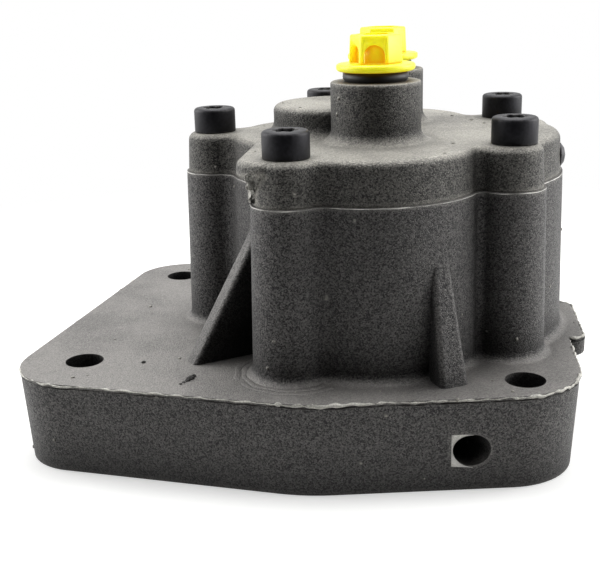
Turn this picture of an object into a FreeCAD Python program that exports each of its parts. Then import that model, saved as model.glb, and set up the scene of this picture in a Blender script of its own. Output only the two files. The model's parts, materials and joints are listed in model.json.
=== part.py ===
import FreeCAD, Part
import Sketcher
import math
import os

# Fuel feed pump: an external gear pump in a cast iron body with a bolted cover.
# Row frame: the drive shaft turns about Z, the mounting face is z = 0, the second
# shaft stands along +X, and the two ports stand side by side along Y.

V = FreeCAD.Vector
doc = FreeCAD.newDocument("fuel_feed_pump")

SIZES = {
    # Casting heights
    "flange_thickness": 22.0,
    "body_height": 39.4,
    "cover_thickness": 9.8,
    "bearing_boss_height": 7.0,
    "port_boss_height": 13.7,
    # Flange outline: corner circles and the swell in the middle of the long sides
    "flange_left_x": 57.6,
    "flange_left_y": 36.6,
    "flange_left_corner": 15.0,
    "flange_back_x": 51.2,
    "flange_back_y": 35.1,
    "flange_back_corner": 13.2,
    "flange_right_x": 39.8,
    "flange_right_y": 34.0,
    "flange_right_corner": 18.0,
    "flange_swell_x": 3.0,
    "flange_swell_y": 19.0,
    "flange_swell": 40.0,
    "flange_taper": 1.2,
    "ear_reach": 4.3,
    "ear_width": 29.0,
    "ear_thickness": 5.0,
    "ear_corner": 3.5,
    "ear_edge": 1.0,
    # Flange screw holes
    "mount_hole_radius": 4.5,
    "mount_right_x": 45.0,
    "mount_right_y": 42.3,
    # Columns for the cover screws and the barrel walls between them
    "end_bolt_x": 30.9,
    "left_bolt_x": 6.9,
    "left_bolt_y": 40.7,
    "right_bolt_x": 42.4,
    "right_bolt_y": 22.5,
    "end_column": 7.3,
    "left_column": 7.6,
    "right_column": 8.0,
    "right_column_shift": 1.0,
    "port_wall_x": 10.0,
    "port_wall_y": 20.7,
    "port_wall": 25.2,
    "drive_wall": 26.0,
    "barrel_wall": 31.4,
    "shoulder_x": 44.0,
    "shoulder_y": 13.5,
    "shoulder": 10.0,
    "waist_radius": 30.0,
    "column_fillet": 4.0,
    "valley_fillet": 1.8,
    "split_step": 0.5,
    "body_draft": 1.0,
    "cover_draft": 0.5,
    "cover_edge": 2.0,
    "foot_fillet": 2.2,
    # Ribs from the flange to the body
    "rib_edge": 1.2,
    "left_rib_foot": 5.2,
    "left_rib_top": 4.4,
    "left_rib_angle": 215.0,
    "left_rib_x": 31.9,
    "left_rib_y": 36.5,
    "left_rib_length": 20.6,
    "left_rib_height": 34.5,
    "right_rib_foot": 6.8,
    "right_rib_top": 3.4,
    "right_rib_angle": 299.0,
    "right_rib_x": 29.8,
    "right_rib_y": 47.4,
    "right_rib_length": 10.0,
    "right_rib_height": 37.0,
    # Ports and bosses on the cover
    "port_x": 11.0,
    "port_y": 16.6,
    "port_boss": 10.5,
    "port_thread": 7.0,
    "port_thread_depth": 12.0,
    "port_passage": 5.0,
    "bearing_boss": 15.5,
    "bearing_boss_edge": 1.8,
    "port_boss_edge": 0.5,
    "boss_fillet": 3.0,
    # Stub of the pouring gate on the cover's front left side
    "gate_left": 18.1,
    "gate_front_y": 39.0,
    "gate_back_y": 17.0,
    "gate_corner": 8.0,
    "gate_height": 3.3,
    "gate_root_height": 5.9,
    "gate_step": 2.3,
    # Gears
    "gear_distance": 24.0,
    "gear_module": 2.0,
    "gear_teeth": 12,
    "gear_width": 13.4,
    "gear_side_gap": 0.3,
    "gear_tip_gap": 0.3,
    "gear_backlash": 0.5,
    # Shafts and bushes
    "shaft_radius": 6.5,
    "running_gap": 0.05,
    "bush_wall": 2.5,
    "body_bush_length": 12.0,
    "drive_cover_bush": 12.0,
    "idler_cover_bush": 7.4,
    "shaft_end_gap": 0.6,
    "shaft_recess": 0.6,
    "tang_slot_width": 4.0,
    "tang_slot_depth": 2.6,
    "key_width": 4.0,
    "key_height": 3.4,
    "key_length": 10.0,
    "shaft_clearance": 1.5,
    # Shaft seals in the pilot recess
    "pilot_radius": 21.0,
    "pilot_depth": 4.0,
    "seal_bore": 13.0,
    "seal_thickness": 3.6,
    "spacer_thickness": 2.0,
    "ring_thickness": 1.0,
    "ring_groove_depth": 1.0,
    "seal_lip_gap": 0.3,
    # Tell-tale hole from the front wall to the space between the seals
    "weep_radius": 3.75,
    "weep_angle": 302.4,
    "weep_mouth_x": 33.7,
    "weep_mouth_y": 53.1,
    "weep_depth": 34.0,
    "weep_drill": 1.4,
    "weep_drill_extra": 22.0,
    "weep_start": 6.0,
    "weep_pocket_width": 4.9,
    "weep_pocket_height": 7.8,
    "weep_pocket_floor": 53.0,
    # Face seal between the body and the cover
    "groove_width": 2.0,
    "groove_depth": 1.6,
    "seal_valve_corner": 4.6,
    "seal_relief_corner": 5.6,
    "seal_port_corner": 10.5,
    "seal_port_y": 17.0,
    # Port pockets beside the gear mesh
    "pocket_radius": 7.5,
    "pocket_y": 14.5,
    # Cover screws
    "bolt_radius": 3.0,
    "bolt_head": 5.0,
    "bolt_head_height": 6.0,
    "bolt_hole": 3.3,
    "bolt_length": 25.0,
    "thread_gap": 0.03,
    "tap_extra": 4.0,
    "socket_outer": 2.8,
    "socket_inner": 2.05,
    "socket_depth": 2.6,
    # Dowel pins
    "dowel_radius": 2.0,
    "dowel_length": 12.0,
    "dowel_gap": 0.02,
    "dowel_front_x": 2.0,
    "dowel_front_y": 33.0,
    "dowel_back_x": 30.0,
    "dowel_back_y": 26.5,
    # Relief valve
    "relief_x": 45.5,
    "relief_bore": 4.0,
    "relief_depth": 30.0,
    "relief_seat_height": 3.0,
    "relief_seat_hole": 2.2,
    "relief_piston_length": 10.0,
    "relief_piston_cup": 7.0,
    "relief_wire": 0.45,
    "relief_coil": 2.5,
    "relief_pitch": 2.2,
    # Priming check valve
    "check_x": 19.3,
    "check_bore": 3.0,
    "check_depth": 20.0,
    "check_seat_height": 2.5,
    "check_seat_hole": 1.6,
    "check_ball": 2.6,
    "check_wire": 0.35,
    "check_coil": 1.9,
    "check_pitch": 1.7,
    "valve_gap": 0.05,
    "spring_gap": 0.3,
    # Cover gallery and its plug
    "gallery_radius": 2.9,
    "gallery_length": 13.0,
    "gallery_y": 4.0,
    "gallery_height": 3.9,
    "gallery_plug_length": 6.0,
    "gallery_plug_dome": 1.2,
    # Ring in the mounting face
    "face_ring_radius": 26.0,
    "face_ring_section": 1.3,
    "face_groove_gap": 0.2,
    # Transit plugs in the ports
    "plug_lift": 0.3,
    "plug_flange": 9.1,
    "plug_flange_height": 1.7,
    "plug_collar": 7.6,
    "plug_collar_height": 1.0,
    "plug_hex": 6.2,
    "plug_hex_height": 6.0,
    "plug_thread_length": 8.0,
    "plug_thread_gap": 0.35,
    "plug_wall": 1.4,
    "plug_window_width": 4.2,
    "plug_window_height": 4.4,
    "plug_window_depth": 3.0,
    "ring_section": 1.0,
}

sheet = doc.addObject("Spreadsheet::Sheet", "Sizes")
for row, (alias, value) in enumerate(SIZES.items(), start=1):
    sheet.set("A%d" % row, alias)
    sheet.set("B%d" % row, str(value))
    sheet.setAlias("B%d" % row, alias)
doc.recompute()


def size(name):
    """The number in the sheet's cell of that name."""
    return float(sheet.get(name))


# Heights as expressions on the sheet
FLANGE_TOP = "Sizes.flange_thickness"
SPLIT = "(Sizes.flange_thickness + Sizes.body_height)"
COVER_TOP = "(Sizes.flange_thickness + Sizes.body_height + Sizes.cover_thickness)"
GEAR_POCKET = "(Sizes.gear_width + 2 * Sizes.gear_side_gap)"
GEAR_FLOOR = "(" + SPLIT + " - " + GEAR_POCKET + ")"
PORT_RIM = "(" + COVER_TOP + " + Sizes.port_boss_height)"
GEAR_TIP = "(Sizes.gear_module * (Sizes.gear_teeth + 2) / 2)"
BUSH_OUTER = "(Sizes.shaft_radius + Sizes.running_gap + Sizes.bush_wall)"

split = size("flange_thickness") + size("body_height")
cover_top = split + size("cover_thickness")


# Small helpers

def bind(item, **expressions):
    """Tie an object's properties to expressions on the sheet."""
    for name, expression in expressions.items():
        item.setExpression(name, expression)
    return item


def place(item, x="0", y="0", z="0"):
    """Tie an object's place to expressions on the sheet."""
    item.setExpression("Placement.Base.x", x)
    item.setExpression("Placement.Base.y", y)
    item.setExpression("Placement.Base.z", z)
    return item


def cylinder(label, radius, height, x="0", y="0", z="0"):
    item = doc.addObject("Part::Cylinder", label)
    bind(item, Radius=radius, Height=height)
    return place(item, x, y, z)


def box(label, length, width, height, x="0", y="0", z="0"):
    item = doc.addObject("Part::Box", label)
    bind(item, Length=length, Width=width, Height=height)
    return place(item, x, y, z)


def fuse(label, items):
    item = doc.addObject("Part::MultiFuse", label)
    item.Shapes = items
    return item


def cut(label, base, tool):
    item = doc.addObject("Part::Cut", label)
    item.Base = base
    item.Tool = tool
    return item


def fillet_edges(label, base, radius, chosen):
    """Round the edges of base that the test picks."""
    doc.recompute()
    item = doc.addObject("Part::Fillet", label)
    item.Base = base
    picked = []
    for number, edge in enumerate(base.Shape.Edges, start=1):
        if chosen(edge):
            picked.append((number, radius, radius))
    item.Edges = picked
    doc.recompute()
    return item


def level_edge(height):
    """A test for edges that lie at one height."""
    def chosen(edge):
        box_of_edge = edge.BoundBox
        return abs(box_of_edge.ZMin - height) < 1e-4 and abs(box_of_edge.ZMax - height) < 1e-4
    return chosen


def sketch_of(label, curves, height="0"):
    """A flat sketch that holds the given curves at a height."""
    item = doc.addObject("Sketcher::SketchObject", label)
    item.addGeometry(curves, False)
    item.setExpression("Placement.Base.z", height)
    return item


def turned(label, corners, x="0", y="0"):
    """A body of revolution about its own upright axis.

    Each corner of the half section is a pair of expressions, radius and height."""
    body = doc.addObject("PartDesign::Body", label)
    body.Label = label
    planes = {plane.Role: plane for plane in body.Origin.OriginFeatures}
    section = body.newObject("Sketcher::SketchObject", label + "_section")
    section.AttachmentSupport = (planes["XZ_Plane"], [""])
    section.MapMode = "FlatFace"
    count = len(corners)
    guess = [V(10 + 5 * math.cos(2 * math.pi * i / count),
               10 + 5 * math.sin(2 * math.pi * i / count), 0) for i in range(count)]
    for i in range(count):
        section.addGeometry(Part.LineSegment(guess[i], guess[(i + 1) % count]), False)
    for i in range(count):
        section.addConstraint(Sketcher.Constraint("Coincident", i, 2, (i + 1) % count, 1))
    for i, (radius, height) in enumerate(corners):
        if radius == "0":
            section.addConstraint(Sketcher.Constraint("PointOnObject", i, 1, -2))
        else:
            place_index = section.addConstraint(
                Sketcher.Constraint("DistanceX", -1, 1, i, 1, guess[i].x))
            section.setExpression("Constraints[%d]" % place_index, radius)
        if height == "0":
            section.addConstraint(Sketcher.Constraint("PointOnObject", i, 1, -1))
        else:
            place_index = section.addConstraint(
                Sketcher.Constraint("DistanceY", -1, 1, i, 1, guess[i].y))
            section.setExpression("Constraints[%d]" % place_index, height)
    spin = body.newObject("PartDesign::Revolution", label + "_turning")
    spin.Profile = section
    spin.ReferenceAxis = (section, ["V_Axis"])
    spin.Angle = 360
    section.Visibility = False
    return place(body, x, y)


def tube(label, inner, outer, low, high, x="0", y="0"):
    """A plain ring or bush between two radii and two heights."""
    return turned(label, [(inner, low), (outer, low), (outer, high), (inner, high)], x, y)


# Outlines made of arcs

def along(angle, radius):
    return V(radius * math.cos(angle), radius * math.sin(angle), 0)


def arc_round(centre, radius, start, end):
    """The counterclockwise arc of a circle from one point on it to another."""
    first = math.atan2(start.y - centre.y, start.x - centre.x)
    last = math.atan2(end.y - centre.y, end.x - centre.x)
    if last < first:
        last += 2 * math.pi
    return Part.Arc(start, centre + along((first + last) / 2, radius), end)


def hollow_corner(a, a_radius, b, b_radius, fillet):
    """Where a hollow fillet touches two circles, seen from outside their outline."""
    line = b - a
    distance = line.Length
    u = line / distance
    reach_a = a_radius + fillet
    reach_b = b_radius + fillet
    step = (distance ** 2 + reach_a ** 2 - reach_b ** 2) / (2 * distance)
    offset = math.sqrt(reach_a ** 2 - step ** 2)
    centre = a + u * step + V(u.y, -u.x, 0) * offset
    on_a = a + (centre - a) * (a_radius / reach_a)
    on_b = b + (centre - b) * (b_radius / reach_b)
    middle = (on_a + on_b) / 2 - centre
    return on_a, centre + middle * (fillet / middle.Length), on_b


def lobed_outline(circles, fillets):
    """Round lobes joined by hollow fillets, taken counterclockwise."""
    count = len(circles)
    joints = []
    for i in range(count):
        a, a_radius = circles[i]
        b, b_radius = circles[(i + 1) % count]
        joints.append(hollow_corner(a, a_radius, b, b_radius, fillets[i]))
    curves = []
    for i in range(count):
        centre, radius = circles[i]
        curves.append(arc_round(centre, radius, joints[i - 1][2], joints[i][0]))
        curves.append(Part.Arc(joints[i][0], joints[i][1], joints[i][2]))
    return curves


def belt_outline(circles):
    """Circles joined by straight tangents, like a belt around them, counterclockwise."""
    count = len(circles)
    tangents = []
    for i in range(count):
        a, a_radius = circles[i]
        b, b_radius = circles[(i + 1) % count]
        line = b - a
        u = line / line.Length
        lean = (a_radius - b_radius) / line.Length
        normal = u * lean + V(u.y, -u.x, 0) * math.sqrt(1 - lean ** 2)
        tangents.append((a + normal * a_radius, b + normal * b_radius))
    curves = []
    for i in range(count):
        centre, radius = circles[i]
        curves.append(arc_round(centre, radius, tangents[i - 1][1], tangents[i][0]))
        curves.append(Part.LineSegment(tangents[i][0], tangents[i][1]))
    return curves


def loft(label, low, high):
    item = doc.addObject("Part::Loft", label)
    item.Sections = [low, high]
    item.Solid = True
    item.Ruled = True
    return item


# Places that several pieces share

BOLTS = {
    "end": ("-Sizes.end_bolt_x", "0"),
    "front_left": ("-Sizes.left_bolt_x", "-Sizes.left_bolt_y"),
    "front_right": ("Sizes.right_bolt_x", "-Sizes.right_bolt_y"),
    "back_right": ("Sizes.right_bolt_x", "Sizes.right_bolt_y"),
    "back_left": ("-Sizes.left_bolt_x", "Sizes.left_bolt_y"),
}
DOWELS = {
    "front": ("Sizes.dowel_front_x", "-Sizes.dowel_front_y"),
    "back": ("Sizes.dowel_back_x", "Sizes.dowel_back_y"),
}
MOUNT_HOLES = {
    "front_left": ("-Sizes.flange_left_x", "-Sizes.flange_left_y"),
    "back_left": ("-Sizes.flange_back_x", "Sizes.flange_back_y"),
    "front_right": ("Sizes.mount_right_x", "-Sizes.mount_right_y"),
    "back_right": ("Sizes.mount_right_x", "Sizes.mount_right_y"),
}
PORTS = {
    "inlet": ("Sizes.port_x", "-Sizes.port_y"),
    "outlet": ("Sizes.port_x", "Sizes.port_y"),
}
IDLER_X = "Sizes.gear_distance"


def casting_lobes(grow):
    """The columns and barrel walls, each larger by grow, from the end bolt counterclockwise."""
    end = V(-size("end_bolt_x"), 0, 0)
    left = V(-size("left_bolt_x"), -size("left_bolt_y"), 0)
    port = V(size("port_wall_x"), -size("port_wall_y"), 0)
    right = V(size("right_bolt_x") - size("right_column_shift"), -size("right_bolt_y"), 0)
    barrel = V(size("gear_distance"), 0, 0)
    shoulder = V(size("shoulder_x"), size("shoulder_y"), 0)
    front = [
        (V(0, 0, 0), size("drive_wall") + grow),
        (left, size("left_column") + grow),
        (port, size("port_wall") + grow),
        (right, size("right_column") + grow),
    ]
    back = [(V(centre.x, -centre.y, 0), radius) for centre, radius in reversed(front)]
    return ([(end, size("end_column") + grow)] + front
            + [(barrel, size("barrel_wall") + grow), (shoulder, size("shoulder") + grow)]
            + back)


def casting_outline(grow):
    waist = size("waist_radius")
    corner = size("column_fillet")
    valley = size("valley_fillet")
    return lobed_outline(casting_lobes(grow), [
        corner, waist, corner, valley, corner,
        corner, corner, valley, corner, waist, corner])


def flange_circles(shrink):
    """The flange's four corners and the swell of its long sides, counterclockwise."""
    swell = size("flange_swell") - shrink
    right = size("flange_right_corner") - shrink
    return [
        (V(-size("flange_left_x"), -size("flange_left_y"), 0), size("flange_left_corner") - shrink),
        (V(-size("flange_swell_x"), -size("flange_swell_y"), 0), swell),
        (V(size("flange_right_x"), -size("flange_right_y"), 0), right),
        (V(size("flange_right_x"), size("flange_right_y"), 0), right),
        (V(-size("flange_swell_x"), size("flange_swell_y"), 0), swell),
        (V(-size("flange_back_x"), size("flange_back_y"), 0), size("flange_back_corner") - shrink),
    ]


def seal_circles(grow):
    """The line of the face seal around both gears, the ports and the two valves."""
    port = size("seal_port_corner") + grow
    return [
        (V(-size("check_x"), 0, 0), size("seal_valve_corner") + grow),
        (V(size("gear_distance") / 2, -size("seal_port_y"), 0), port),
        (V(size("relief_x"), 0, 0), size("seal_relief_corner") + grow),
        (V(size("gear_distance") / 2, size("seal_port_y"), 0), port),
    ]


# Pump body: flange, barrel, ear and ribs

def rib(kind, name, sign, side):
    """A tapering web that leans against the body; side is -1 in front and 1 at the back."""
    item = doc.addObject("Part::Wedge", "%s_blank_%s" % (kind, name))
    cell = "Sizes." + kind
    length = cell + "_length"
    foot = cell + "_foot"
    top = cell + "_top"
    item.Xmin = 0
    item.X2min = size(kind + "_length")
    item.Ymin = 0
    item.Zmin = 0
    item.Z2min = 0
    bind(item, Xmax=length, X2max=length, X2min=length, Ymax=cell + "_height", Zmax=foot,
         Z2max="(%s + %s) / 2" % (foot, top), Z2min="(%s - %s) / 2" % (foot, top))
    sloping = fillet_edges("%s_%s" % (kind, name), item, size("rib_edge"), sloping_edge)
    inward = math.radians(size(kind + "_angle") + 180)
    forward = V(math.cos(inward), math.sin(inward), 0)
    across = forward.cross(V(0, 0, 1))
    if side > 0:
        forward.y = -forward.y
        across = forward.cross(V(0, 0, 1))
    turn = FreeCAD.Rotation(forward, V(0, 0, 1), across, "XYZ")
    sloping.Placement = FreeCAD.Placement(V(0, 0, 0), turn)
    shift = -size(kind + "_foot") / 2
    foot_x = ("-" if kind == "left_rib" else "") + cell + "_x"
    foot_y = sign + cell + "_y"
    return place(sloping, "%s + %.9f" % (foot_x, across.x * shift),
                 "%s + %.9f" % (foot_y, across.y * shift), FLANGE_TOP)


def sloping_edge(edge):
    """A rib's two long edges, which run up and inwards at once."""
    first, last = edge.Vertexes[0].Point, edge.Vertexes[-1].Point
    return abs(first.x - last.x) > 1e-3 and abs(first.y - last.y) > 1e-3


def make_ribs():
    ribs = []
    for side, sign in ((-1, "-"), (1, "")):
        name = "front" if side < 0 else "back"
        ribs.append(rib("left_rib", name, sign, side))
        ribs.append(rib("right_rib", name, sign, side))
    return ribs


def make_flange():
    low = sketch_of("flange_low", belt_outline(flange_circles(size("flange_taper"))))
    high = sketch_of("flange_high", belt_outline(flange_circles(0)), FLANGE_TOP)
    return loft("flange", low, high)


def make_ear():
    """The locating ear on the flange's right edge."""
    edge = size("flange_right_x") + size("flange_right_corner")
    half = size("ear_width") / 2 - size("ear_corner")
    far = edge + size("ear_reach") - size("ear_corner")
    corners = [
        (V(edge - 8, -half, 0), size("ear_corner")),
        (V(far, -half, 0), size("ear_corner")),
        (V(far, half, 0), size("ear_corner")),
        (V(edge - 8, half, 0), size("ear_corner")),
    ]
    outline = sketch_of("ear_outline", belt_outline(corners),
                        FLANGE_TOP + " - Sizes.ear_thickness")
    ear = doc.addObject("Part::Extrusion", "ear")
    ear.Base = outline
    ear.DirMode = "Normal"
    ear.Solid = True
    ear.setExpression("LengthFwd", "Sizes.ear_thickness")
    top = size("flange_thickness")
    low = top - size("ear_thickness")
    return fillet_edges("rounded_ear", ear, size("ear_edge"),
                        lambda edge: level_edge(top)(edge) or level_edge(low)(edge))


def seal_ring_prism(label, low, height, inset):
    """The racetrack ring of the face seal or of its groove."""
    half = size("groove_width") / 2 - inset
    outline = sketch_of(label + "_outline", belt_outline(seal_circles(half)), low)
    inner = sketch_of(label + "_inner", belt_outline(seal_circles(-half)), low)
    solids = []
    for sketch in (outline, inner):
        solid = doc.addObject("Part::Extrusion", sketch.Name + "_solid")
        solid.Base = sketch
        solid.DirMode = "Normal"
        solid.Solid = True
        solid.setExpression("LengthFwd", height)
        solids.append(solid)
    return cut(label, solids[0], solids[1])


def make_body():
    foot = sketch_of("barrel_foot",
                     casting_outline(size("split_step") + size("body_draft")), FLANGE_TOP)
    top = sketch_of("barrel_top", casting_outline(size("split_step")), SPLIT)
    barrel = loft("barrel", foot, top)
    plate = fuse("plate", [make_flange(), make_ear()])
    rough = fuse("rough_casting", [plate, barrel])
    doc.recompute()
    flange_top = size("flange_thickness")
    radius = size("foot_fillet")
    foot_box = barrel.Shape.BoundBox

    def at_foot(edge):
        middle = edge.valueAt((edge.FirstParameter + edge.LastParameter) / 2)
        near = barrel.Shape.distToShape(Part.Vertex(middle))[0] < 1e-4
        return near and level_edge(flange_top)(edge) and middle.x < foot_box.XMax + 1

    filleted = fillet_edges("filleted_casting", rough, radius, at_foot)
    solid = fuse("ribbed_casting", [filleted] + make_ribs())

    tools = []
    tools.append(cylinder("pilot_recess", "Sizes.pilot_radius", "Sizes.pilot_depth"))
    ring_low = "Sizes.pilot_depth"
    tools.append(cylinder("ring_groove", "Sizes.seal_bore + Sizes.ring_groove_depth",
                          "Sizes.ring_thickness", z=ring_low))
    seal_stack = "(2 * Sizes.seal_thickness + Sizes.spacer_thickness + Sizes.ring_thickness)"
    tools.append(cylinder("seal_bore_cut", "Sizes.seal_bore", seal_stack, z=ring_low))
    tools.append(cylinder("shaft_way", "Sizes.shaft_radius + Sizes.shaft_clearance", SPLIT))
    for name, x in (("drive", "0"), ("idler", IDLER_X)):
        tools.append(cylinder(name + "_bush_bore", BUSH_OUTER, "Sizes.body_bush_length",
                              x=x, z=GEAR_FLOOR + " - Sizes.body_bush_length"))
        tools.append(cylinder(name + "_gear_pocket", GEAR_TIP + " + Sizes.gear_tip_gap",
                              GEAR_POCKET, x=x, z=GEAR_FLOOR))
    for name, y in (("inlet", "-Sizes.pocket_y"), ("outlet", "Sizes.pocket_y")):
        tools.append(cylinder(name + "_pocket", "Sizes.pocket_radius", GEAR_POCKET,
                              x=IDLER_X + " / 2", y=y, z=GEAR_FLOOR))
    tools.append(cylinder("relief_hole", "Sizes.relief_bore", "Sizes.relief_depth",
                          x="Sizes.relief_x", z=SPLIT + " - Sizes.relief_depth"))
    tools.append(cylinder("check_hole", "Sizes.check_bore", "Sizes.check_depth",
                          x="-Sizes.check_x", z=SPLIT + " - Sizes.check_depth"))
    tools.append(seal_ring_prism("seal_groove", SPLIT + " - Sizes.groove_depth",
                                 "Sizes.groove_depth", 0.0))
    tap_depth = "(Sizes.bolt_length - Sizes.cover_thickness + Sizes.tap_extra)"
    for name, (x, y) in BOLTS.items():
        tools.append(cylinder(name + "_tapped_hole", "Sizes.bolt_radius + Sizes.thread_gap",
                              tap_depth, x=x, y=y, z=SPLIT + " - " + tap_depth))
    for name, (x, y) in DOWELS.items():
        tools.append(cylinder(name + "_dowel_hole", "Sizes.dowel_radius + Sizes.dowel_gap",
                              "Sizes.dowel_length / 2", x=x, y=y,
                              z=SPLIT + " - Sizes.dowel_length / 2"))
    for name, (x, y) in MOUNT_HOLES.items():
        tools.append(cylinder(name + "_mount_hole", "Sizes.mount_hole_radius",
                              "Sizes.flange_thickness", x=x, y=y))
    tools += weep_tools()
    groove_outer = cylinder("face_groove_outer",
                            "Sizes.face_ring_radius + Sizes.face_ring_section"
                            " + Sizes.face_groove_gap", "2 * Sizes.face_ring_section")
    groove_inner = cylinder("face_groove_inner",
                            "Sizes.face_ring_radius - Sizes.face_ring_section"
                            " - Sizes.face_groove_gap", "2 * Sizes.face_ring_section")
    tools.append(cut("face_groove", groove_outer, groove_inner))
    return cut("pump_body", solid, fuse("body_cuts", tools))


def weep_tools():
    """The drilled way from the front wall down to the space between the shaft seals."""
    inward = math.radians(size("weep_angle") + 180)
    turn = FreeCAD.Rotation(V(0, 0, 1), V(math.cos(inward), math.sin(inward), 0))
    height = ("Sizes.pilot_depth + Sizes.ring_thickness + Sizes.seal_thickness"
              " + Sizes.spacer_thickness / 2")
    start = size("weep_start")
    back_x = -start * math.cos(inward)
    back_y = -start * math.sin(inward)
    drills = []
    for name, radius, extra in (("weep_mouth", "Sizes.weep_radius", ""),
                                ("weep_drill_way", "Sizes.weep_drill",
                                 " + Sizes.weep_drill_extra")):
        drill = doc.addObject("Part::Cylinder", name)
        drill.Placement = FreeCAD.Placement(V(0, 0, 0), turn)
        bind(drill, Radius=radius, Height="Sizes.weep_depth" + extra)
        drill.setExpression("Placement.Base.x", "Sizes.weep_mouth_x + %.9f" % back_x)
        drill.setExpression("Placement.Base.y", "-Sizes.weep_mouth_y + %.9f" % back_y)
        drill.setExpression("Placement.Base.z", height)
        drills.append(drill)
    pocket = box("weep_pocket", "Sizes.weep_pocket_width", "Sizes.weep_start",
                 "Sizes.weep_pocket_height", x="Sizes.weep_mouth_x - Sizes.weep_pocket_width",
                 y="-Sizes.weep_pocket_floor - Sizes.weep_start",
                 z=height + " - Sizes.weep_pocket_height / 2")
    return drills + [pocket]


# Pump cover: plate, bearing boss, port bosses, gate stub

def gate_stub():
    """What is left of the pouring gate after it was broken off, with its narrower root."""
    corner = size("gate_corner")
    lobe = size("left_column") - 2 * size("cover_draft")
    top_low = COVER_TOP + " - Sizes.gate_height"
    root_low = top_low + " - Sizes.gate_root_height"
    solids = []
    for name, inset, low, height in (
            ("gate_top", 0.0, top_low, "Sizes.gate_height"),
            ("gate_root", size("gate_step"), root_low, "Sizes.gate_root_height + 1")):
        x = corner - size("gate_left")
        radius = corner - inset
        circles = [
            (V(x, -size("gate_back_y"), 0), radius),
            (V(x, -size("gate_front_y"), 0), radius),
            (V(-size("left_bolt_x"), -size("left_bolt_y"), 0), lobe),
        ]
        outline = sketch_of(name + "_outline", belt_outline(circles), low)
        solid = doc.addObject("Part::Extrusion", name)
        solid.Base = outline
        solid.DirMode = "Normal"
        solid.Solid = True
        solid.setExpression("LengthFwd", height)
        solids.append(solid)
    solids[0] = fillet_edges("gate_round", solids[0], size("cover_edge"), level_edge(cover_top))
    return solids


def make_cover():
    low = sketch_of("cover_low", casting_outline(0.0), SPLIT)
    high = sketch_of("cover_high", casting_outline(-size("cover_draft")), COVER_TOP)
    plate = loft("cover_plate", low, high)
    rounded = fillet_edges("rounded_plate", plate, size("cover_edge"), level_edge(cover_top))
    sunk = "Sizes.cover_thickness / 2"
    boss_low = COVER_TOP + " - " + sunk
    bearing = cylinder("bearing_boss_blank", "Sizes.bearing_boss",
                       "Sizes.bearing_boss_height + " + sunk, z=boss_low)
    bearing_top = cover_top + size("bearing_boss_height")
    bosses = [fillet_edges("bearing_boss_round", bearing, size("bearing_boss_edge"),
                           level_edge(bearing_top))]
    port_top = cover_top + size("port_boss_height")
    for name, (x, y) in PORTS.items():
        blank = cylinder(name + "_boss_blank", "Sizes.port_boss",
                         "Sizes.port_boss_height + " + sunk, x=x, y=y, z=boss_low)
        bosses.append(fillet_edges(name + "_boss_round", blank, size("port_boss_edge"),
                                   level_edge(port_top)))
    solid = fuse("rough_cover", [rounded] + bosses + gate_stub())
    def boss_foot(edge):
        return level_edge(cover_top)(edge) and hasattr(edge.Curve, "Radius") and on_boss(edge)

    def on_boss(edge):
        radius = edge.Curve.Radius
        return min(abs(radius - size("bearing_boss")), abs(radius - size("port_boss"))) < 1e-6

    footed = fillet_edges("footed_cover", solid, size("boss_fillet"), boss_foot)

    tools = []
    for name, x, length in (("drive", "0", "Sizes.drive_cover_bush"),
                            ("idler", IDLER_X, "Sizes.idler_cover_bush")):
        tools.append(cylinder(name + "_cover_bore", BUSH_OUTER, length, x=x, z=SPLIT))
    for name, (x, y) in PORTS.items():
        tools.append(cylinder(name + "_thread_bore", "Sizes.port_thread",
                              "Sizes.port_thread_depth", x=x, y=y,
                              z=PORT_RIM + " - Sizes.port_thread_depth"))
        tools.append(cylinder(name + "_passage", "Sizes.port_passage",
                              "Sizes.cover_thickness + Sizes.port_boss_height",
                              x=x, y=y, z=SPLIT))
    for name, (x, y) in BOLTS.items():
        tools.append(cylinder(name + "_bolt_hole", "Sizes.bolt_hole", "Sizes.cover_thickness",
                              x=x, y=y, z=SPLIT))
    for name, (x, y) in DOWELS.items():
        tools.append(cylinder(name + "_cover_dowel_hole", "Sizes.dowel_radius + Sizes.dowel_gap",
                              "Sizes.dowel_length / 2", x=x, y=y, z=SPLIT))
    gallery = doc.addObject("Part::Cylinder", "gallery")
    gallery.Placement = FreeCAD.Placement(V(0, 0, 0), FreeCAD.Rotation(V(0, 1, 0), 90))
    bind(gallery, Radius="Sizes.gallery_radius", Height="Sizes.gallery_length + 5")
    gallery.setExpression("Placement.Base.x", IDLER_X + " + Sizes.barrel_wall - Sizes.gallery_length")
    gallery.setExpression("Placement.Base.y", "-Sizes.gallery_y")
    gallery.setExpression("Placement.Base.z", SPLIT + " + Sizes.gallery_height")
    tools.append(gallery)
    return cut("pump_cover", footed, fuse("cover_cuts", tools))


# Screws and pins

def star(centre, height):
    """The six-lobed socket's outline as a star."""
    points = []
    for i in range(12):
        radius = size("socket_outer") if i % 2 == 0 else size("socket_inner")
        points.append(centre + along(i * math.pi / 6, radius) + V(0, 0, height))
    return Part.makePolygon(points + points[:1])


def make_bolts():
    shapes = []
    for x, y in BOLTS.values():
        centre = V(place_value(x), place_value(y), 0)
        head = Part.makeCylinder(size("bolt_head"), size("bolt_head_height"),
                                 centre + V(0, 0, cover_top))
        head = head.makeChamfer(0.5, [edge for edge in head.Edges
                                      if level_edge(cover_top + size("bolt_head_height"))(edge)])
        shank = Part.makeCylinder(size("bolt_radius"), size("bolt_length"),
                                  centre + V(0, 0, cover_top - size("bolt_length")))
        top = cover_top + size("bolt_head_height")
        socket = Part.Face(star(centre, top - size("socket_depth")))
        shapes.append(head.fuse(shank).cut(socket.extrude(V(0, 0, size("socket_depth")))))
    item = doc.addObject("Part::Feature", "cover_bolts")
    item.Shape = Part.makeCompound(shapes)
    return item


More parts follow.
